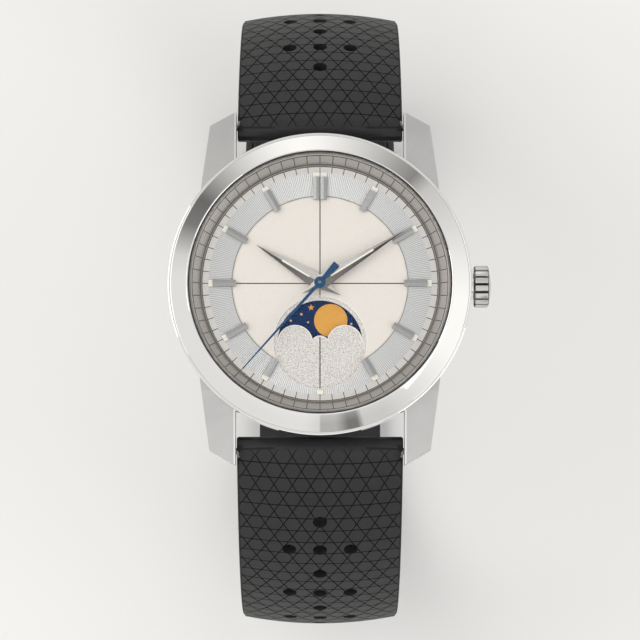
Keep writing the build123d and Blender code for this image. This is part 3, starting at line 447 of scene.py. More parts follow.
def skin(rings, sides, closed=True):
    """Faces between rings of points that follow one another, with two caps where they aren't closed."""
    faces = []
    for ring in range(rings if closed else rings - 1):
        near, far = ring * sides, (ring + 1) % rings * sides
        for side in range(sides):
            after = (side + 1) % sides
            faces.append((near + side, near + after, far + after, far + side))
    return faces if closed else faces + [tuple(range(sides)), tuple(range(sides * (rings - 1), sides * rings))]


def turned_solid(profile, count=192, centre=(0.0, 0.0), place=None):
    """Points and faces of a closed outline of (radius, level) turned round Z, or as a place function says."""
    points = []
    for step in range(count):
        turn = 2 * math.pi * step / count
        for radius, level in profile:
            upright = (centre[0] + radius * math.sin(turn), centre[1] + radius * math.cos(turn), level)
            points.append(place(radius, level, turn) if place else upright)
    return points, skin(count, len(profile))


def lathe(name, profile, material, body, count=192, centre=(0.0, 0.0), place=None, **more):
    """Turned piece from a closed outline of (radius, level)."""
    return mesh_piece(name, *turned_solid(profile, count, centre, place), material, body, **more)


def swept(path, section, place=None, closed=False):
    """Points and faces of a section of (aside, level) carried along a flat path, or as a place function says."""
    points, count = [], len(path)
    for i, (x, y) in enumerate(path):
        before, after = path[max(i - 1, 0)], path[min(i + 1, count - 1)]
        if closed:
            before, after = path[i - 1], path[(i + 1) % count]
        along = Vector((after[0] - before[0], after[1] - before[1])).normalized()
        for aside, level in section:
            point = (x + along.y * aside, y - along.x * aside, level)
            points.append(place(*point) if place else point)
    return points, skin(count, len(section), closed)


def prism(outline, low_at, high_at):
    """Points and faces of an upright prism. A level that is a function gives each corner its own."""
    count = len(outline)
    levels = [[level(x, y) if callable(level) else level for x, y in outline] for level in (low_at, high_at)]
    points = [(x, y, z) for row in levels for (x, y), z in zip(outline, row)]
    faces = [tuple(reversed(range(count))), tuple(range(count, 2 * count))]
    faces += [(i, (i + 1) % count, count + (i + 1) % count, count + i) for i in range(count)]
    return points, faces


def at(level, *places):
    """Outline of (place, rise above a level)."""
    return [(place, level + rise) for place, rise in places]


def rectangle(x0, x1, y0, y1):
    return [(x0, y0), (x1, y0), (x1, y1), (x0, y1)]


def gathered(solids):
    """Several (points, faces) as one."""
    points, faces = [], []
    for more_points, more_faces in solids:
        faces += [tuple(i + len(points) for i in face) for face in more_faces]
        points += more_points
    return points, faces


def radial_bar(inner, outer, width, angle, low_at, high_at):
    """Bar that points away from the centre at an angle clockwise from 12."""
    corners = rectangle(-width / 2, width / 2, inner, outer)
    return prism([polar(along, angle, aside) for aside, along in corners], low_at, high_at)


def rounded(corners, radius, steps=5):
    """Outline with its corners rounded. A radius may be given for each corner."""
    out, count = [], len(corners)
    for i, corner in enumerate(corners):
        r = radius[i] if isinstance(radius, list) else radius
        here = Vector(corner)
        back = (Vector(corners[i - 1]) - here).normalized()
        ahead = (Vector(corners[(i + 1) % count]) - here).normalized()
        half = back.angle(ahead) / 2
        if r <= 0 or half > math.pi / 2 - 0.01:
            out.append(tuple(here))
            continue
        centre = here + (back + ahead).normalized() * (r / math.sin(half))
        first, last = (here + way * (r / math.tan(half)) - centre for way in (back, ahead))
        turn = first.angle(last)
        for step in range(steps + 1):
            share = step / steps
            ray = first * math.sin((1 - share) * turn) + last * math.sin(share * turn)
            out.append(tuple(centre + ray / math.sin(turn)))
    return out


# Bezel, flange and crystals, turned finely because they mirror the room
BEZEL_RADIUS, GLASS_RADIUS, BACK_GLASS_RADIUS = 17.95, 15.4, 12.29
bezel_low, bezel_step, bezel_high = low("bezel"), low("bezel") + 1.85, top("bezel")
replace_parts(lathe("polished_bezel", [
    (15.56, bezel_low + 0.2), (17.3, bezel_low), (17.88, bezel_low), (BEZEL_RADIUS, bezel_low + 0.07),
    (BEZEL_RADIUS, bezel_step - 0.1), (17.92, bezel_step - 0.03), (17.85, bezel_step), (17.74, bezel_step),
    (17.72, bezel_step - 0.07), (17.65, bezel_step - 0.07), (17.62, bezel_step + 0.03),
    (17.58, bezel_step + 0.09), (15.78, bezel_high - 0.06), (15.7, bezel_high - 0.01), (15.63, bezel_high),
    (15.57, bezel_high - 0.04), (15.55, bezel_high - 0.12)],
    "mirror", HEAD, 256, slot="polished_steel", angle=9), "bezel")
flange_high = top("rehaut")
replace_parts(lathe("minute_flange", [
    (13.95, dial_top), (13.97, dial_top + 0.1), (15.12, flange_high - 0.03), (15.2, flange_high),
    (15.55, flange_high), (15.55, dial_top)], "flange", HEAD, slot="silver_flange"), "rehaut")
glass_low, glass_high = low("crystal"), top("crystal")
DOME_RISE = 0.85
dome = [(GLASS_RADIUS * math.sin(a), glass_high - DOME_RISE + DOME_RISE * math.cos(a))
        for a in np.linspace(0.02, 1.33, 12)]
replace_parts(lathe("domed_crystal", [
    (0.01, glass_low + 0.25), (14.9, glass_low), (GLASS_RADIUS, glass_low), (GLASS_RADIUS, 9.85), (15.36, 9.98),
    *reversed(dome), (0.01, glass_high)], "glass", HEAD, slot="sapphire"), "crystal")
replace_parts(lathe("flat_back_crystal", [
    (0.01, 0.0), (12.2, 0.0), (BACK_GLASS_RADIUS, 0.08), (BACK_GLASS_RADIUS, 1.0), (0.01, 1.0)],
    "glass", HEAD, 160, slot="sapphire"), "caseback_glass")


# Printing and relief on the flange and the dial
def on_flange(radius):
    """Level of the flange's slope."""
    return dial_top + 0.1 + (radius - 13.97) / 1.15 * (flange_high - 0.13 - dial_top)


LINE_WIDTH, LINE_RISE = 0.085, 0.012
for name, inner, outer, low_at, high_at in (
        ("minute_track_ticks", 13.16, 13.93, dial_top - 0.01, dial_top + LINE_RISE),
        ("flange_ticks", 14.22, 15.04, lambda x, y: on_flange(math.hypot(x, y)) - 0.02,
         lambda x, y: on_flange(math.hypot(x, y)) + LINE_RISE)):
    ticks = [radial_bar(inner, outer, LINE_WIDTH, 6 * minute, low_at, high_at) for minute in range(60)]
    mesh_piece(name, *gathered(ticks), "print", HEAD, angle=10)
for name, inner, outer, level, sunk, outer_rise, inner_rise, material in (
        ("flange_edge_line", 15.0, 15.07, on_flange, 0.02, 0.01, 0.012, "print"),
        # Painted shade: dark ring at the flange's foot
        ("flange_foot_painted_shade", 14.02, 14.2, on_flange, 0.02, 0.011, 0.011, "groove_line"),
        ("flange_groove_line_1", 14.27, 14.31, on_flange, 0.02, 0.011, 0.011, "groove_line"),
        # Painted shade: dark ring under the bezel's inner edge
        ("flange_rim_painted_shade", 15.38, 15.5, lambda r: flange_high, 0.02, 0.01, 0.01, "groove_line"),
        ("track_edge_line", 13.86, 13.94, lambda r: dial_top, 0.01, 0.013, 0.012, "print"),
        ("minute_track_ring", 13.13, 13.92, lambda r: dial_top, 0.01, 0.004, 0.004, "track")):
    lathe(name, [(inner, level(inner) - sunk), (outer, level(outer) - sunk), (outer, level(outer) + outer_rise),
                 (inner, level(inner) + inner_rise)], material, HEAD)

MOON_Y, MOON_EDGE = -7.0, 5.5
RING_INNER, RING_OUTER, RIDGE, VALLEY = 10.42, 13.13, 0.034, 0.004
points = []
for ray in range(RAYS):
    x, y = polar(1.0, 360 * ray / RAYS)
    inside = MOON_EDGE ** 2 - (MOON_Y * x) ** 2
    moon_cut = MOON_Y * y + math.sqrt(inside) if y < 0 and inside > 0 else 0.0
    inner, level = max(RING_INNER, moon_cut), dial_top + (RIDGE if ray % 2 else VALLEY)
    points += [(x * r, y * r, z) for r, z in (
        (inner, dial_top - 0.01), (inner, level), (RING_OUTER, level), (RING_OUTER, dial_top - 0.01))]
mesh_piece("guilloche_ring", points, skin(RAYS, 4), "silver", HEAD, slot="cream_dial", angle=4)
# Dark line round the recess's step: painted shade
arc = [polar(10.385, angle) for angle in np.linspace(209.4, 510.6, 190)]
section = at(dial_top, (-0.055, -0.03), (0.055, -0.03), (0.05, 0.03), (-0.055, 0.036))
mesh_piece("recess_painted_shade_line", *swept(arc, section), "edge", HEAD)
# Bevel ring round the moon window, painted light as its highlight
lathe("moon_window_rim", [
    (5.475, plate_top - 0.02), (5.475, centre_top - 0.01), (5.51, centre_top + 0.02), (5.57, centre_top + 0.02),
    (5.6, centre_top - 0.02), (5.6, plate_top - 0.02)], "rim", HEAD, 160, (0.0, MOON_Y))
HUMPS = ((2.93, 0.0, 2.1, 0.0, 168.1), (-2.93, 0.0, 2.1, 11.9, 180.0), (0.0, -0.3, 1.14, 39.9, 140.1))
bevels = []
for x, y, radius, start, end in HUMPS:
    arc = [(x + (radius - 0.06) * math.cos(a), MOON_Y + y + (radius - 0.06) * math.sin(a))
           for a in np.radians(np.linspace(start, end, 40))]
    bevels.append(swept(arc, at(plate_top, (-0.05, -0.01), (0.05, -0.01), (0.045, 0.02), (-0.045, 0.02))))
# Bevels of the window's humps, with the same painted highlight
mesh_piece("window_bevel", *gathered(bevels), "rim", HEAD)
cross = [prism(rectangle(*sides), level - 0.01, level + rise) for sides, level, rise in (
    ((-0.06, 0.06, -1.6, 10.5), centre_top, 0.01), ((-9.9, 9.9, -0.06, 0.06), centre_top, 0.01),
    ((-0.06, 0.06, -12.45, -6.34), plate_top, 0.012))]
mesh_piece("dial_cross_lines", *gathered(cross), "print", HEAD, angle=10)


def star_outline(x, y, radius, turn):
    spikes = [polar(radius * (0.45 if i % 2 else 1.0), turn + 36 * i) for i in range(10)]
    return [(x + dx, y + dy) for dx, dy in spikes]


# Small stars of the moon disc, the same on both halves
stars = []
for side in (1, -1):
    for x, y, radius in ((-2.2, 3.4, 0.2), (-3.45, 2.65, 0.19), (-1.4, 2.45, 0.17), (3.7, 2.25, 0.18)):
        outline = star_outline(side * x, MOON_Y + side * y, radius, 20 * x)
        stars.append(prism(outline, disc_top - 0.005, disc_top + 0.02))
mesh_piece("small_stars", *gathered(stars), "star", "moon_disc", slot="gold_figures", angle=10)

# Hands with their full width ahead of the hub, and a needle with a straight counterweight
HAND_EDGE, HAND_STEPS = 0.08, 12


def pointed_hand(name, node, tip, tail, shoulder, half, hole, angle, material):
    """Closed ring from the hub's hole to the pointed outline, with its ridge along the hand."""
    bottom, edge, ridge = low(node), low(node) + HAND_EDGE, top(node)
    corners = [(tip, 0.0), (shoulder, half), (-tail, 0.0), (shoulder, -half)]
    points = []
    for (along_0, aside_0), (along_1, aside_1) in zip(corners, corners[1:] + corners[:1]):
        for step in range(HAND_STEPS):
            along = along_0 + (along_1 - along_0) * step / HAND_STEPS
            aside = aside_0 + (aside_1 - aside_0) * step / HAND_STEPS
            near = hole / math.hypot(along, aside)
            x, y = polar(along, angle, aside)
            points += [(x, y, bottom), (x, y, edge), (x * near, y * near, ridge + (edge - ridge) * near),
                       (x * near, y * near, bottom)]
    faces = skin(len(corners) * HAND_STEPS, 4)
    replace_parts(mesh_piece(name, points, faces, material, node, slot="hand_steel", angle=3), node)


pointed_hand("ridged_hour_hand", "hour_hand", 8.85, 2.9, 0.8, 0.92, 0.53, HOUR_ANGLE, "hour")
pointed_hand("ridged_minute_hand", "minute_hand", 11.9, 2.5, 0.6, 0.84, 0.36, MINUTE_ANGLE, "minute")
needle_low, needle_top = low("seconds_hand"), top("seconds_hand")
needle = [prism([polar(y, SECONDS_ANGLE, x) for y, x in outline], needle_low, needle_low + HAND_EDGE)
          for outline in ([(0.5, 0.19), (13.6, 0.07), (13.6, -0.07), (0.5, -0.19)],
                          [(-0.5, -0.26), (-2.96, -0.4), (-2.96, 0.4), (-0.5, 0.26)])]
needle.append(turned_solid([(0.2, needle_low), (0.2, needle_top), (0.64, needle_top), (0.68, needle_top - 0.03),
                            (0.68, needle_low)], 48))
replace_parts(mesh_piece("blued_needle", *gathered(needle), "blue", "seconds_hand", slot="blued_steel"),
            "seconds_hand")

# Lume lines and the pin of the hands
for hand, start, end, angle in (("hour_hand", 1.45, 5.2, HOUR_ANGLE), ("minute_hand", 1.5, 7.4, MINUTE_ANGLE)):
    bar = radial_bar(start, end, 0.2, angle, top(hand) - 0.07, top(hand) + 0.012)
    mesh_piece(hand + "_lume", *bar, "lume", hand, slot="lume", angle=10)
lathe("hand_pin", at(needle_top, (0.0, 0.1), (0.1, 0.1), (0.2, 0.07), (0.235, 0.02), (0.235, -0.05), (0.0, -0.05)),
      "pin", "seconds_hand", 32)

# Polished edges along the inside and the end of each lug's top
LUG_END, LUG_START, LUG_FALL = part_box("case_body")[1].y / MM, 12.5, 1.9
LUG_INNER, LUG_OUTER, EDGE_WIDTH, CORNER_Y = 10.0, 12.6, 0.22, 19.3


def lug_level(y):
    """Height of a lug's top, through its shoulder, its middle and its end."""
    share = (y - LUG_START) / (LUG_END - LUG_START)
    return bezel_low - LUG_FALL * (0.38 * 4 * share * (1 - share) + share * (2 * share - 1))


def lug_edge(side, end, inner, stations, reach_at):
    """Strip on a lug's top, from a side to where the reach ends at each station."""
    strip = [(side * x, end * y, lug_level(y) - sunk) for y in stations for x, sunk in (
        (inner, 0.03), (inner, -0.004), (reach_at(y), -0.014), (reach_at(y), 0.03))]
    return strip, skin(len(stations), 4, closed=False)


edges = []
for side in (1, -1):
    for end in (1, -1):
        edges.append(lug_edge(side, end, LUG_INNER, np.linspace(14.6, LUG_END - 0.02, 14),
                              lambda y: LUG_INNER + EDGE_WIDTH))
        edges.append(lug_edge(side, end, LUG_INNER + EDGE_WIDTH, np.linspace(LUG_END - 0.16, LUG_END - 0.02, 3),
                              lambda y: min(LUG_OUTER, 13.1 - (y - CORNER_Y) * 1.7222)))
mesh_piece("polished_lug_edges", *gathered(edges), "mirror", HEAD, slot="polished_steel", angle=20)

# Strap: both halves are laid out flat and then bent round the wrist
BAR_Y, BAR_Z = joint_place("strap_12_hinge")[1:]
LOOP_Z = joint_place("free_keeper_slide")[2]
BEND, KNEE_TURN, BOTTOM_BEND = 36.9, 130.0, 25.15
BAR_TURN = math.degrees(math.asin(BAR_Y / BEND))
BEND_LENGTH = BEND * math.radians(KNEE_TURN - BAR_TURN)
BOTTOM_Y = (BEND - BOTTOM_BEND) * math.sin(math.radians(KNEE_TURN))
BOTTOM_Z = LOOP_Z + (BEND - BOTTOM_BEND) * math.cos(math.radians(KNEE_TURN))
STRAIGHT = BEND_LENGTH + BOTTOM_BEND * math.radians(180 - KNEE_TURN)
BUCKLE_LENGTH, TAIL_LENGTH, BUCKLE_END, TAIL_END = STRAIGHT - 12.2, STRAIGHT + 16.8, 17.3, 16.1
OUTER, INNER, EYE, BULB, TIP = 1.8, 1.4, 1.42, 1.75, 3.4
HALF, WAIST = 9.85, 9.65
FLOOR_Z = BOTTOM_Z - BOTTOM_BEND - OUTER
PITCH, GROOVE, GROOVE_WIDTH, MARGIN, EDGE_ROUND = 2.19, 0.13, 0.13, 0.16, 0.16


def bent(x, s, h):
    """Place of a point that is across x, along s and out h on the flat strap."""
    if s < BEND_LENGTH:
        turn, y, z, radius = BAR_TURN + math.degrees(s / BEND), 0.0, LOOP_Z, BEND
    else:
        turn, y, z, radius = KNEE_TURN + math.degrees((s - BEND_LENGTH) / BOTTOM_BEND), BOTTOM_Y, BOTTOM_Z, BOTTOM_BEND
        turn = min(turn, 180.0)
    out_y, out_z = polar(1.0, turn)
    return x, y + (radius + h) * out_y - max(s - STRAIGHT, 0.0), z + (radius + h) * out_z


def half_width(s, end_width):
    level = bent(0, s, 0)[2]
    if level > LOOP_Z:
        return WAIST + (HALF - WAIST) * min((level - LOOP_Z) / (BAR_Z - LOOP_Z), 1.0)
    return WAIST + (end_width / 2 - WAIST) * (LOOP_Z - level) / (LOOP_Z - FLOOR_Z)


def inner_depth(s, length, eye):
    depth = INNER - 0.5 * min(max(s, 0.0) / BEND_LENGTH, 1.0)
    return depth + (INNER - depth) * max(0.0, 1 - (length - s) / 3.5) if eye else depth


def outer_height(x, s, length, eye):
    crown = OUTER - (x / HALF) ** 2
    return crown + (EYE - crown) * max(0.0, 1 - (length - s) / 3.0) if eye else crown


def clip(outline, a, b, c):
    """The part of a convex outline where a x + b y <= c."""
    out = []
    for i, (x, y) in enumerate(outline):
        px, py = outline[i - 1]
        here, before = a * x + b * y - c, a * px + b * py - c
        if (here < 0) != (before < 0):
            share = before / (before - here)
            out.append((px + share * (x - px), py + share * (y - py)))
        if here < 0:
            out.append((x, y))
    return out


def between(outline, start, end):
    """The part of a convex outline between two stations along the strap."""
    return clip(clip(outline, 0, 1, end), 0, -1, -start)


def inset(outline, distance):
    """A convex outline moved inwards."""
    centre = np.mean(outline, axis=0)
    out = [tuple(p) for p in outline]
    for (ax, ay), (bx, by) in zip(outline, outline[1:] + outline[:1]):
        nx, ny = by - ay, ax - bx
        size = math.hypot(nx, ny)
        if size < 1e-6:
            continue
        nx, ny = nx / size, ny / size
        if (centre[0] - ax) * nx + (centre[1] - ay) * ny > 0:
            nx, ny = -nx, -ny
        out = clip(out, nx, ny, nx * ax + ny * ay - distance)
        if len(out) < 3:
            return []
    return out


def area(outline):
    return abs(sum(a[0] * b[1] - b[0] * a[1] for a, b in zip(outline, outline[1:] + outline[:1]))) / 2


def tiles(start, end, width_at):
    """Hexagons and triangles between three families of grooves, clipped by the strap's plain borders."""
    side, rise = PITCH / 2, PITCH * math.sqrt(3) / 2
    hexagon, pattern = [math.radians(a) for a in range(0, 360, 60)], []
    for row in range(int((end - start) / rise) + 1):
        s0 = start + (row + 0.5) * rise
        for column in range(-6, 7):
            x0 = column * PITCH + (side if row % 2 else 0.0)
            pattern.append([(x0 + side * math.cos(a), s0 + side * math.sin(a)) for a in hexagon])
            for sign in (1, -1):
                base = s0 + sign * rise / 2
                pattern.append([(x0 + side / 2, base), (x0 + 3 * side / 2, base), (x0 + side, base - sign * rise / 2)])
    kept = []
    for outline in pattern:
        limit = width_at(np.mean([s for x, s in outline])) - MARGIN
        shape = between(clip(clip(outline, 1, 0, limit), -1, 0, limit), start, end)
        if len(shape) < 3:
            continue
        whole = len(outline) == 6 and area(shape) > 0.999 * area(outline)
        shape = inset(shape, GROOVE_WIDTH / 2)
        if whole:
            shape = rounded(shape, 0.3, 2)
        if len(shape) > 2 and area(shape) > 0.05:
            kept.append(shape)
    return kept


def fade(s):
    """How deep the grooves are, from none on the rolled end to full on the face."""
    return max(0.0, min(1.0, (s + 1.3) / 1.8))


def rolled(x, s, h):
    """Place on the rolled end of a point that lies before the strap's face."""
    turn = s / OUTER
    radius = h + (BULB + 0.05 - OUTER + 0.05 - (x / HALF) ** 2) * (math.cos(turn) - 1) + 0.006
    return x, radius * math.sin(turn), radius * math.cos(turn)


def tile(outline, low_at, high_at):
    """Points and faces of one tile. A tile on the rolled end is cut into strips that follow the roll."""
    stations = [s for x, s in outline]
    cuts = [c for c in (-0.9, -0.65, -0.4, -0.2, 0.0) if min(stations) < c < max(stations)]
    if not cuts:
        return prism(outline, low_at, high_at)
    strips, bounds = [], [-9.0, *cuts, 1e3]
    for near, far in zip(bounds, bounds[1:]):
        strip = between(outline, near, far)
        if len(strip) > 2:
            points, faces = prism(strip, low_at, high_at)
            on_cut = [any(abs(a[1] - c) < 1e-6 and abs(b[1] - c) < 1e-6 for c in cuts)
                      for a, b in zip(strip, strip[1:] + strip[:1])]
            strips.append((points, faces[:2] + [face for face, hidden in zip(faces[2:], on_cut) if not hidden]))
    return gathered(strips)


def flat_object(name, points, faces):
    """Object of the flat strap, still in millimetres."""
    obj = drawn(name, points, faces)
    mend(obj.data, join=1e-4)
    return obj


def carved(obj, cutter):
    """Cuts one flat object with another and returns its points and faces."""
    cut = obj.modifiers.new("holes", "BOOLEAN")
    cut.operation, cut.solver, cut.object = "DIFFERENCE", "EXACT", cutter
    bpy.context.view_layer.update()
    done = obj.evaluated_get(bpy.context.evaluated_depsgraph_get()).to_mesh()
    points = [tuple(v.co) for v in done.vertices]
    faces = [tuple(p.vertices) for p in done.polygons]
    bpy.data.objects.remove(obj)
    return points, faces


def edge_fall(x, half):
    """How far the strap's long edge is rounded off."""
    near = max(0.0, abs(x) - (half - EDGE_ROUND)) / EDGE_ROUND
    return EDGE_ROUND * (1 - math.sqrt(max(0.0, 1 - min(near, 1.0) ** 2)))


def strap_core(length, eye, width_at):
    """Points and faces of the flat strap below its tiles: a loop of cross rows down one face and up the other."""
    halves = [0.14, 0.28, 0.42, 0.55, 0.67, 0.78, 0.87, 0.93, 0.965, 0.985, 1.0]
    shares = [-share for share in reversed(halves)] + [0.0] + halves
    stations = [0.0, 0.3, 0.6, 0.9, 1.2, 1.5, 2.2, *np.arange(3.3, length - (0.0 if eye else TIP), 1.1)]
    if eye:
        stations.append(length)
    else:
        stations += [length - TIP * (1 - t) for t in (0.0, 0.3, 0.55, 0.75, 0.88, 0.95, 0.985)] + [length - 0.01]
    loop = [(s, None, 1) for s in stations]
    if eye:
        loop += [(length, a, 1) for a in range(20, 180, 20)]
    loop += [(s, None, -1) for s in reversed(stations)]
    loop += [(0.0, a, -1) for a in (200, 220, 240, 260, 280, 300, 315, 325, 335, 345, 353)]
    points, rows, columns = [], len(loop), len(shares)
    for s, angle, outside in loop:
        half = width_at(s)
        for share in shares:
            x, along = share * half, s
            if angle is not None:
                sine, cosine = polar(1.0, angle)
                radius = EYE if outside > 0 else (
                    BULB + (0.05 - (x / HALF) ** 2) * max(0.0, cosine)
                    - GROOVE * fade(OUTER * math.radians(angle - 360)))
                radius -= edge_fall(x, half)
                along, height = s + radius * sine, radius * cosine
            elif outside > 0:
                height = outer_height(x, s, length, eye) - GROOVE * fade(s) - edge_fall(x, half)
            else:
                depth = INNER + 0.35 * (1 - s / 2.2) if s < 2.2 else inner_depth(s, length, eye)
                height = -depth + edge_fall(x, half)
            points.append((x, along, height))
    faces = []
    for i in range(rows):
        here, there = i * columns, (i + 1) % rows * columns
        faces += [(here + k, here + k + 1, there + k + 1, there + k) for k in range(columns - 1)]
    faces += [tuple(i * columns + k for i in range(rows)) for k in (0, columns - 1)]
    return points, faces


def strap_half(name, node, body, end_width, length, holes, eye, flip):
    """One strap half with its tiles, borders, bulb and holes."""
    def width_at(s):
        half = half_width(s, end_width)
        if not eye and s > length - TIP:
            bow = (half * half + TIP ** 2) / (2 * TIP)
            return math.sqrt(max(bow ** 2 - (s - length + bow) ** 2, 0.0004))
        return half

    core = flat_object(name + "_core", *strap_core(length, eye, width_at))
    pattern_end = length - (4.2 if eye else 6.0)
    points, faces = gathered([tile(outline, lambda x, s: outer_height(x, s, length, eye) - GROOVE - 0.06,
                                   lambda x, s: outer_height(x, s, length, eye))
                              for outline in tiles(-1.15, pattern_end, width_at)])
    points = [rolled(x, s, h) if s < 0 else (x, s, h) for x, s, h in points]
    face = flat_object(name + "_faces", points, faces)

    round_hole = [(0.85 * math.cos(a), 0.85 * math.sin(a)) for a in np.linspace(0, 2 * math.pi, 28, endpoint=False)]
    cuts = [prism([(x + dx, s + ds) for dx, ds in round_hole], -4.0, 4.0) for x, s in holes]
    if eye:
        cuts.append(prism(rectangle(-1.1, 1.1, length - 3.0, length + 3.0), -4.0, 4.0))
    cutter = flat_object(name + "_cutter", *gathered(cuts))
    core, face = carved(core, cutter), carved(face, cutter)
    bpy.data.objects.remove(cutter)
    points, faces = gathered([core, face])
    moved = []
    for x, s, h in points:
        x, y, z = bent(x, s, h)
        if flip:
            sunk = outer_height(x, s, length, eye) - h
            y, z = -y, max(z, FLOOR_Z + 0.5 + min(max(sunk, 0.0), 0.2))
        moved.append((x * MM, y * MM, z * MM))
    obj = drawn(name, moved, faces)
    mesh = obj.data
    mesh.materials.append(M["groove"])
    mesh.materials.append(M["tile"])
    # Core faces on the strap's top, between and round the tiles, take the darker rubber as painted shade
    for polygon in mesh.polygons:
        s, h = np.mean([points[v][1:] for v in polygon.vertices], axis=0)
        is_face = polygon.index >= len(core[1]) or h < 0.4 or s > pattern_end or s < -1.0
        polygon.material_index = 1 if is_face else 0
    mend(mesh)
    smooth(mesh, 28)
    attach(obj, body)
    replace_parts(obj, node)


hole_start, hole_step = BEND * math.radians(45.5 - BAR_TURN), BEND * math.radians(7.1)
punched = [(x, hole_start + row * hole_step) for row in range(7) for x in ((-3.7, 0.0, 3.7) if row % 2 else (0.0,))]
tang_holes = [(0.0, STRAIGHT - 22.7 + 5.5 * i) for i in range(6)]
strap_half("tiled_strap_12", "strap_buckle_half", "strap_12", BUCKLE_END, BUCKLE_LENGTH, punched, True, False)
strap_half("tiled_strap_6", "strap_tail_half", "strap_6", TAIL_END, TAIL_LENGTH, punched + tang_holes, False, True)

# Crown: rounded flutes that fade towards its ends
crown_start, crown_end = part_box("crown")[0].x / MM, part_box("crown")[1].x / MM
crown_length = crown_end - crown_start
FLUTES, FLUTE_DEPTH = 16, 0.24


def on_crown(radius, level, turn):
    near_rim = max(0.0, min(1.0, (radius - crown_rim + 0.34) / 0.24))
    wave = 0.5 + 0.5 * math.cos(FLUTES * turn)
    reach = radius - FLUTE_DEPTH * near_rim * wave ** 5
    return crown_start + level, reach * math.cos(turn), stem_z + reach * math.sin(turn)


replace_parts(lathe("fluted_crown", [
    (1.62, 0.0), (2.12, 0.0), (2.32, 0.06), (crown_rim - 0.03, 0.2), (crown_rim, 0.3), (crown_rim, 1.5),
    (crown_rim - 0.03, 1.62), (2.34, 1.74), (2.2, 1.79), (2.1, 1.8), (2.04, 1.84), (1.7, crown_length - 0.24),
    (1.2, crown_length - 0.12), (0.6, crown_length - 0.03), (0.0, crown_length), (0.0, 1.45), (0.5, 1.45),
    (0.5, 1.25), (1.62, 1.25)], "crown", "crown", 320, place=on_crown, slot="polished_steel", angle=26), "crown")

# Buckle, drawn flat in the plane of its frame: x across, y away from the bar, z outwards
BUCKLE_LIFT = math.radians(20.0)
BUCKLE_TURN = math.radians(KNEE_TURN) + (BUCKLE_LENGTH - BEND_LENGTH) / BOTTOM_BEND
BUCKLE_Y, BUCKLE_Z = joint_place("buckle_hinge")[1:]
FRAME_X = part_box("buckle_bar")[1].x / MM
RAIL, FRONT, THICK, REAR, REACH = 1.7, 1.8, 1.6, 1.3, 10.5
PIN_LEVEL, PIN_SIDES = 1.34, 20


def on_buckle(x, y, z):
    along = y * math.cos(BUCKLE_LIFT) + z * math.sin(BUCKLE_LIFT)
    out = -y * math.sin(BUCKLE_LIFT) + z * math.cos(BUCKLE_LIFT)
    return (x, BUCKLE_Y + along * math.cos(BUCKLE_TURN) + out * math.sin(BUCKLE_TURN),
            BUCKLE_Z - along * math.sin(BUCKLE_TURN) + out * math.cos(BUCKLE_TURN))


outer_x, far = FRAME_X - RAIL / 2, REACH - FRONT / 2
path = rounded([(-outer_x, -REAR), (-outer_x, far), (outer_x, far), (outer_x, -REAR)], [0, 1.5, 1.5, 0], 10)
path[1:1] = [(path[0][0], 0.15 - REAR)]
path[-1:-1] = [(path[-1][0], 0.15 - REAR)]
section = rounded(rectangle(-RAIL / 2, RAIL / 2, -THICK / 2, THICK / 2), 0.42, 4)
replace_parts(mesh_piece("rounded_buckle_frame", *swept(path, section, on_buckle), "mirror", "buckle",
                       slot="polished_steel"), "buckle_frame")

collar = turned_solid([(0.68, -0.8), (0.74, -0.85), (1.08, -0.85), (1.15, -0.78), (1.15, 0.78), (1.08, 0.85),
                       (0.74, 0.85), (0.68, 0.8)], 48,
                      place=lambda r, level, turn: on_buckle(level, r * math.cos(turn), r * math.sin(turn)))
pin = ((0.3, 0.95, 0.5), (0.55, 1.2, 0.5), (0.9, PIN_LEVEL, 0.5), (9.2, PIN_LEVEL, 0.46),
       (9.8, PIN_LEVEL - 0.02, 0.44), (10.25, PIN_LEVEL - 0.05, 0.36), (10.44, PIN_LEVEL - 0.08, 0.16))
turns = [2 * math.pi * side / PIN_SIDES for side in range(PIN_SIDES)]
points = [on_buckle(radius * math.cos(turn), y, z + radius * math.sin(turn)) for y, z, radius in pin for turn in turns]
tang = gathered([collar, (points, skin(len(pin), PIN_SIDES, closed=False))])
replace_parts(mesh_piece("pointed_tang", *tang, "mirror", "tang", slot="polished_steel", angle=35), "buckle_tang")


# Keepers: rounded rubber loops bent with the strap
def keeper_loop(name, node, body, place, depth):
    wall, low_h, high_h = 0.9, -depth, OUTER + 2.8
    half_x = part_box(node)[1].x / MM - wall / 2
    loop = rounded(rectangle(-half_x, half_x, low_h - wall / 2, high_h + wall / 2), 0.75, 6)
    section = rounded(rectangle(-wall / 2, wall / 2, 0.0, 4.0), 0.28, 4)
    solid = swept(loop, section, lambda x, h, s: bent(x, place + s, h), closed=True)
    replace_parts(mesh_piece(name, *solid, "tile", body, slot="strap_rubber", angle=40), node)


keeper_loop("rounded_fixed_keeper", "fixed_keeper", "strap_12", BUCKLE_LENGTH - 6.5, 0.9)
keeper_loop("rounded_free_keeper", "free_keeper", "free_keeper", BUCKLE_LENGTH - 14.5, 1.6)

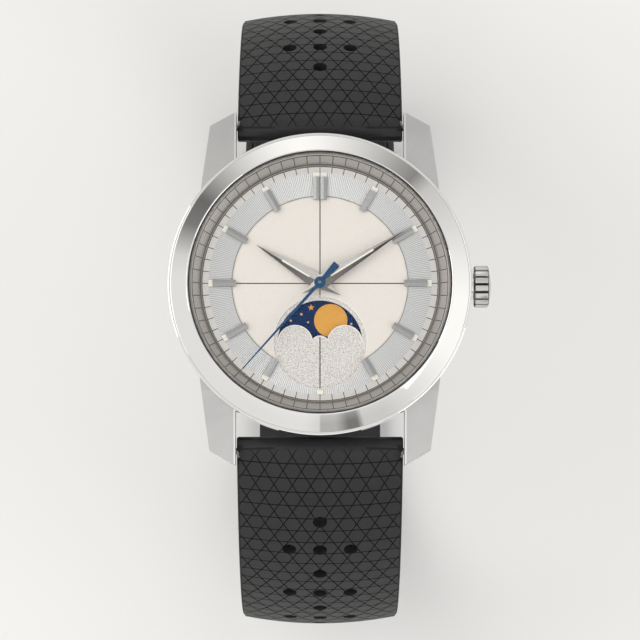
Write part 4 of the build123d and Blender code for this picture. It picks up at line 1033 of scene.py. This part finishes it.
# Hairspring, and the ring round the hands' hole
COIL_TURNS, COIL_STEPS = 9, 40
balance_x, balance_y = joint_place("balance_swing")[:2]
coil = []
for step in range(COIL_TURNS * COIL_STEPS + 1):
    x, y = polar(0.45 + 1.4 * step / (COIL_TURNS * COIL_STEPS), 360 / COIL_STEPS * step)
    coil.append((x + balance_x, y + balance_y))
wire = rectangle(-0.03, 0.03, low("hairspring"), top("hairspring"))
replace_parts(mesh_piece("fine_hairspring", *swept(coil, wire), "blue", HEAD, slot="blued_steel"), "hairspring")
lathe("hand_hole_ring", [(0.6, dial_top - 0.2), (1.3, dial_top - 0.2), (1.3, centre_top - 0.02),
                         (1.26, centre_top + 0.005), (0.63, centre_top + 0.005), (0.6, centre_top - 0.02)],
      "cream", HEAD, 96)

# Rotor: two turned lines on its rim and a ring of screws on its hub
rotor_low = low("rotor")
raised = []
for radius in (9.6, 11.65):
    arc = [polar(radius, angle) for angle in range(92, 269, 2)]
    raised.append(swept(arc, at(rotor_low, (-0.06, 0.02), (0.06, 0.02), (0.045, -0.015), (-0.045, -0.015))))
for number in range(6):
    screw = at(rotor_low, (0.0, 0.02), (0.22, 0.02), (0.22, -0.03), (0.17, -0.06), (0.0, -0.06))
    raised.append(turned_solid(screw, 24, polar(1.5, 60 * number)))
mesh_piece("rotor_lines", *gathered(raised), "screw", "rotor", angle=25)

# Slots of the bridge screws and the clamp screws, each turned its own way, drawn as thin dark bars of painted shade
slots = []
for radius, level, angles in ((9.8, low("bridge_screws"), (115, -35, 295, 145)),
                              (12.25, low("clamp_screws"), (110, 290))):
    for number, angle in enumerate(angles):
        x, y = polar(radius, 90 - angle)
        s, c = polar(1.0, 37 * number + 20)
        corners = rectangle(-0.5, 0.5, -0.07, 0.07)
        slots.append(prism([(x + a * c - b * s, y + a * s + b * c) for a, b in corners], level - 0.012, level + 0.02))
mesh_piece("screw_slots", *gathered(slots), "dark", HEAD, angle=10)

# Jewels of the train bridge in their settings
under = low("train_bridge")
stone = at(under, (0.12, 0.03), (0.16, -0.01), (0.42, -0.03), (0.46, 0.02), (0.46, 0.08), (0.12, 0.08))
setting = at(under, (0.46, 0.02), (0.5, -0.035), (0.62, -0.035), (0.68, 0.01), (0.68, 0.06), (0.46, 0.06))
stones, settings = [], []
for radius, angle in ((2.6, 160.0), (5.6, 175.0), (5.0, 262.0), (7.6, 300.0), (4.4, 330.0)):
    centre = polar(radius, angle)
    stones.append(turned_solid(stone, 36, centre))
    settings.append(turned_solid(setting, 36, centre))
mesh_piece("bridge_jewels", *gathered(stones), "ruby", HEAD)
mesh_piece("jewel_settings", *gathered(settings), "brass", HEAD)

# Floor, just below the strap
floor_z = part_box("strap_tail_half")[0].z - 0.05 * MM
bpy.ops.mesh.primitive_plane_add(size=6.0, location=(0, 0, floor_z))
floor = bpy.context.object
floor.name = "floor"
floor.data.materials.append(M["floor"])
floor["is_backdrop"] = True


# Lights
def soft_light(name, place, size, power, color):
    light = bpy.data.lights.new(name, "AREA")
    light.shape, light.size, light.size_y, light.energy, light.color = "RECTANGLE", *size, power, color
    obj = placed(name, light)
    obj.location = place
    obj.rotation_euler = (-Vector(place)).to_track_quat("-Z", "Y").to_euler()


soft_light("key", (-0.62, 0.16, 0.6), (0.6, 0.7), 2.4, (1.0, 0.985, 0.96))
soft_light("fill", (0.6, -0.35, 0.5), (0.5, 0.5), 0.8, (0.98, 0.99, 1.0))

# Room: panels and gaps round the horizon by clock hour, and an even ceiling
PANELS = (
    (0.0, 1.2), (0.5, 0.83), (1.0, 0.44), (1.22, 0.31), (1.45, 0.72), (2.0, 0.9), (2.5, 1.1), (3.0, 1.27),
    (3.75, 1.24), (4.25, 1.05), (5.0, 0.76), (5.35, 0.76), (5.42, 0.24), (5.58, 0.24), (5.75, 0.56), (6.0, 0.85),
    (6.25, 0.97), (7.0, 0.94), (8.5, 0.96), (9.35, 0.95), (9.6, 0.83), (9.83, 0.5), (10.03, 0.25), (10.38, 0.18),
    (10.58, 0.38), (11.0, 0.79), (11.25, 1.01), (11.5, 1.19), (11.75, 1.27))
PANEL_TINT, CEILING, BRIGHTEST, NORTHERN_FALL = (1.0, 0.985, 0.96), (0.92, 0.915, 0.905), 1.3, 0.26
world = bpy.data.worlds.new("studio")
bpy.context.scene.world = world
world.use_nodes = True
room = Nodes(world.node_tree)
east, north, up = room.node("SeparateXYZ", room.node("TexCoord").outputs["Generated"]).outputs
round_share = room.share(room.math("ARCTAN2", east, north), -math.pi, math.pi)
ramp = room.node("ValToRGB", round_share)
stops = sorted(((hour / 12 + 0.5) % 1.0, level) for hour, level in PANELS)
while len(ramp.color_ramp.elements) < len(stops):
    ramp.color_ramp.elements.new(0.5)
for element, (place, level) in zip(ramp.color_ramp.elements, stops):
    element.position, element.color = place, (*dimmed(PANEL_TINT, level / BRIGHTEST), 1.0)
overhead = room.share(up, 0.3, 0.65)
background = room.tree.nodes["Background"]
room.feed(background.inputs["Color"], room.mix(overhead, ramp.outputs["Color"], dimmed(CEILING, 1 / BRIGHTEST)))
northern_ceiling = room.math("MULTIPLY", north, overhead)
room.feed(background.inputs["Strength"],
          room.math("MULTIPLY_ADD", northern_ceiling, -NORTHERN_FALL * BRIGHTEST, BRIGHTEST))
bpy.context.scene.view_settings.view_transform = "Standard"

# Camera, nearly straight above the dial
AIM, DISTANCE, TILT = Vector((0.0, -0.00435, 0.0078)), 0.45, math.radians(6.5)
camera = placed("camera", bpy.data.cameras.new("camera"))
bpy.context.scene.camera = camera
camera.location = AIM + DISTANCE * Vector((0, -math.sin(TILT), math.cos(TILT)))
camera.rotation_euler = (TILT, 0, 0)
camera.data.lens, camera.data.sensor_width = 215.0, 36.0
camera.data.clip_start, camera.data.clip_end = 0.01, 20.0

shown_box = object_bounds()
str([[list(corner) for corner in box] for box in (cad_box, shown_box)])
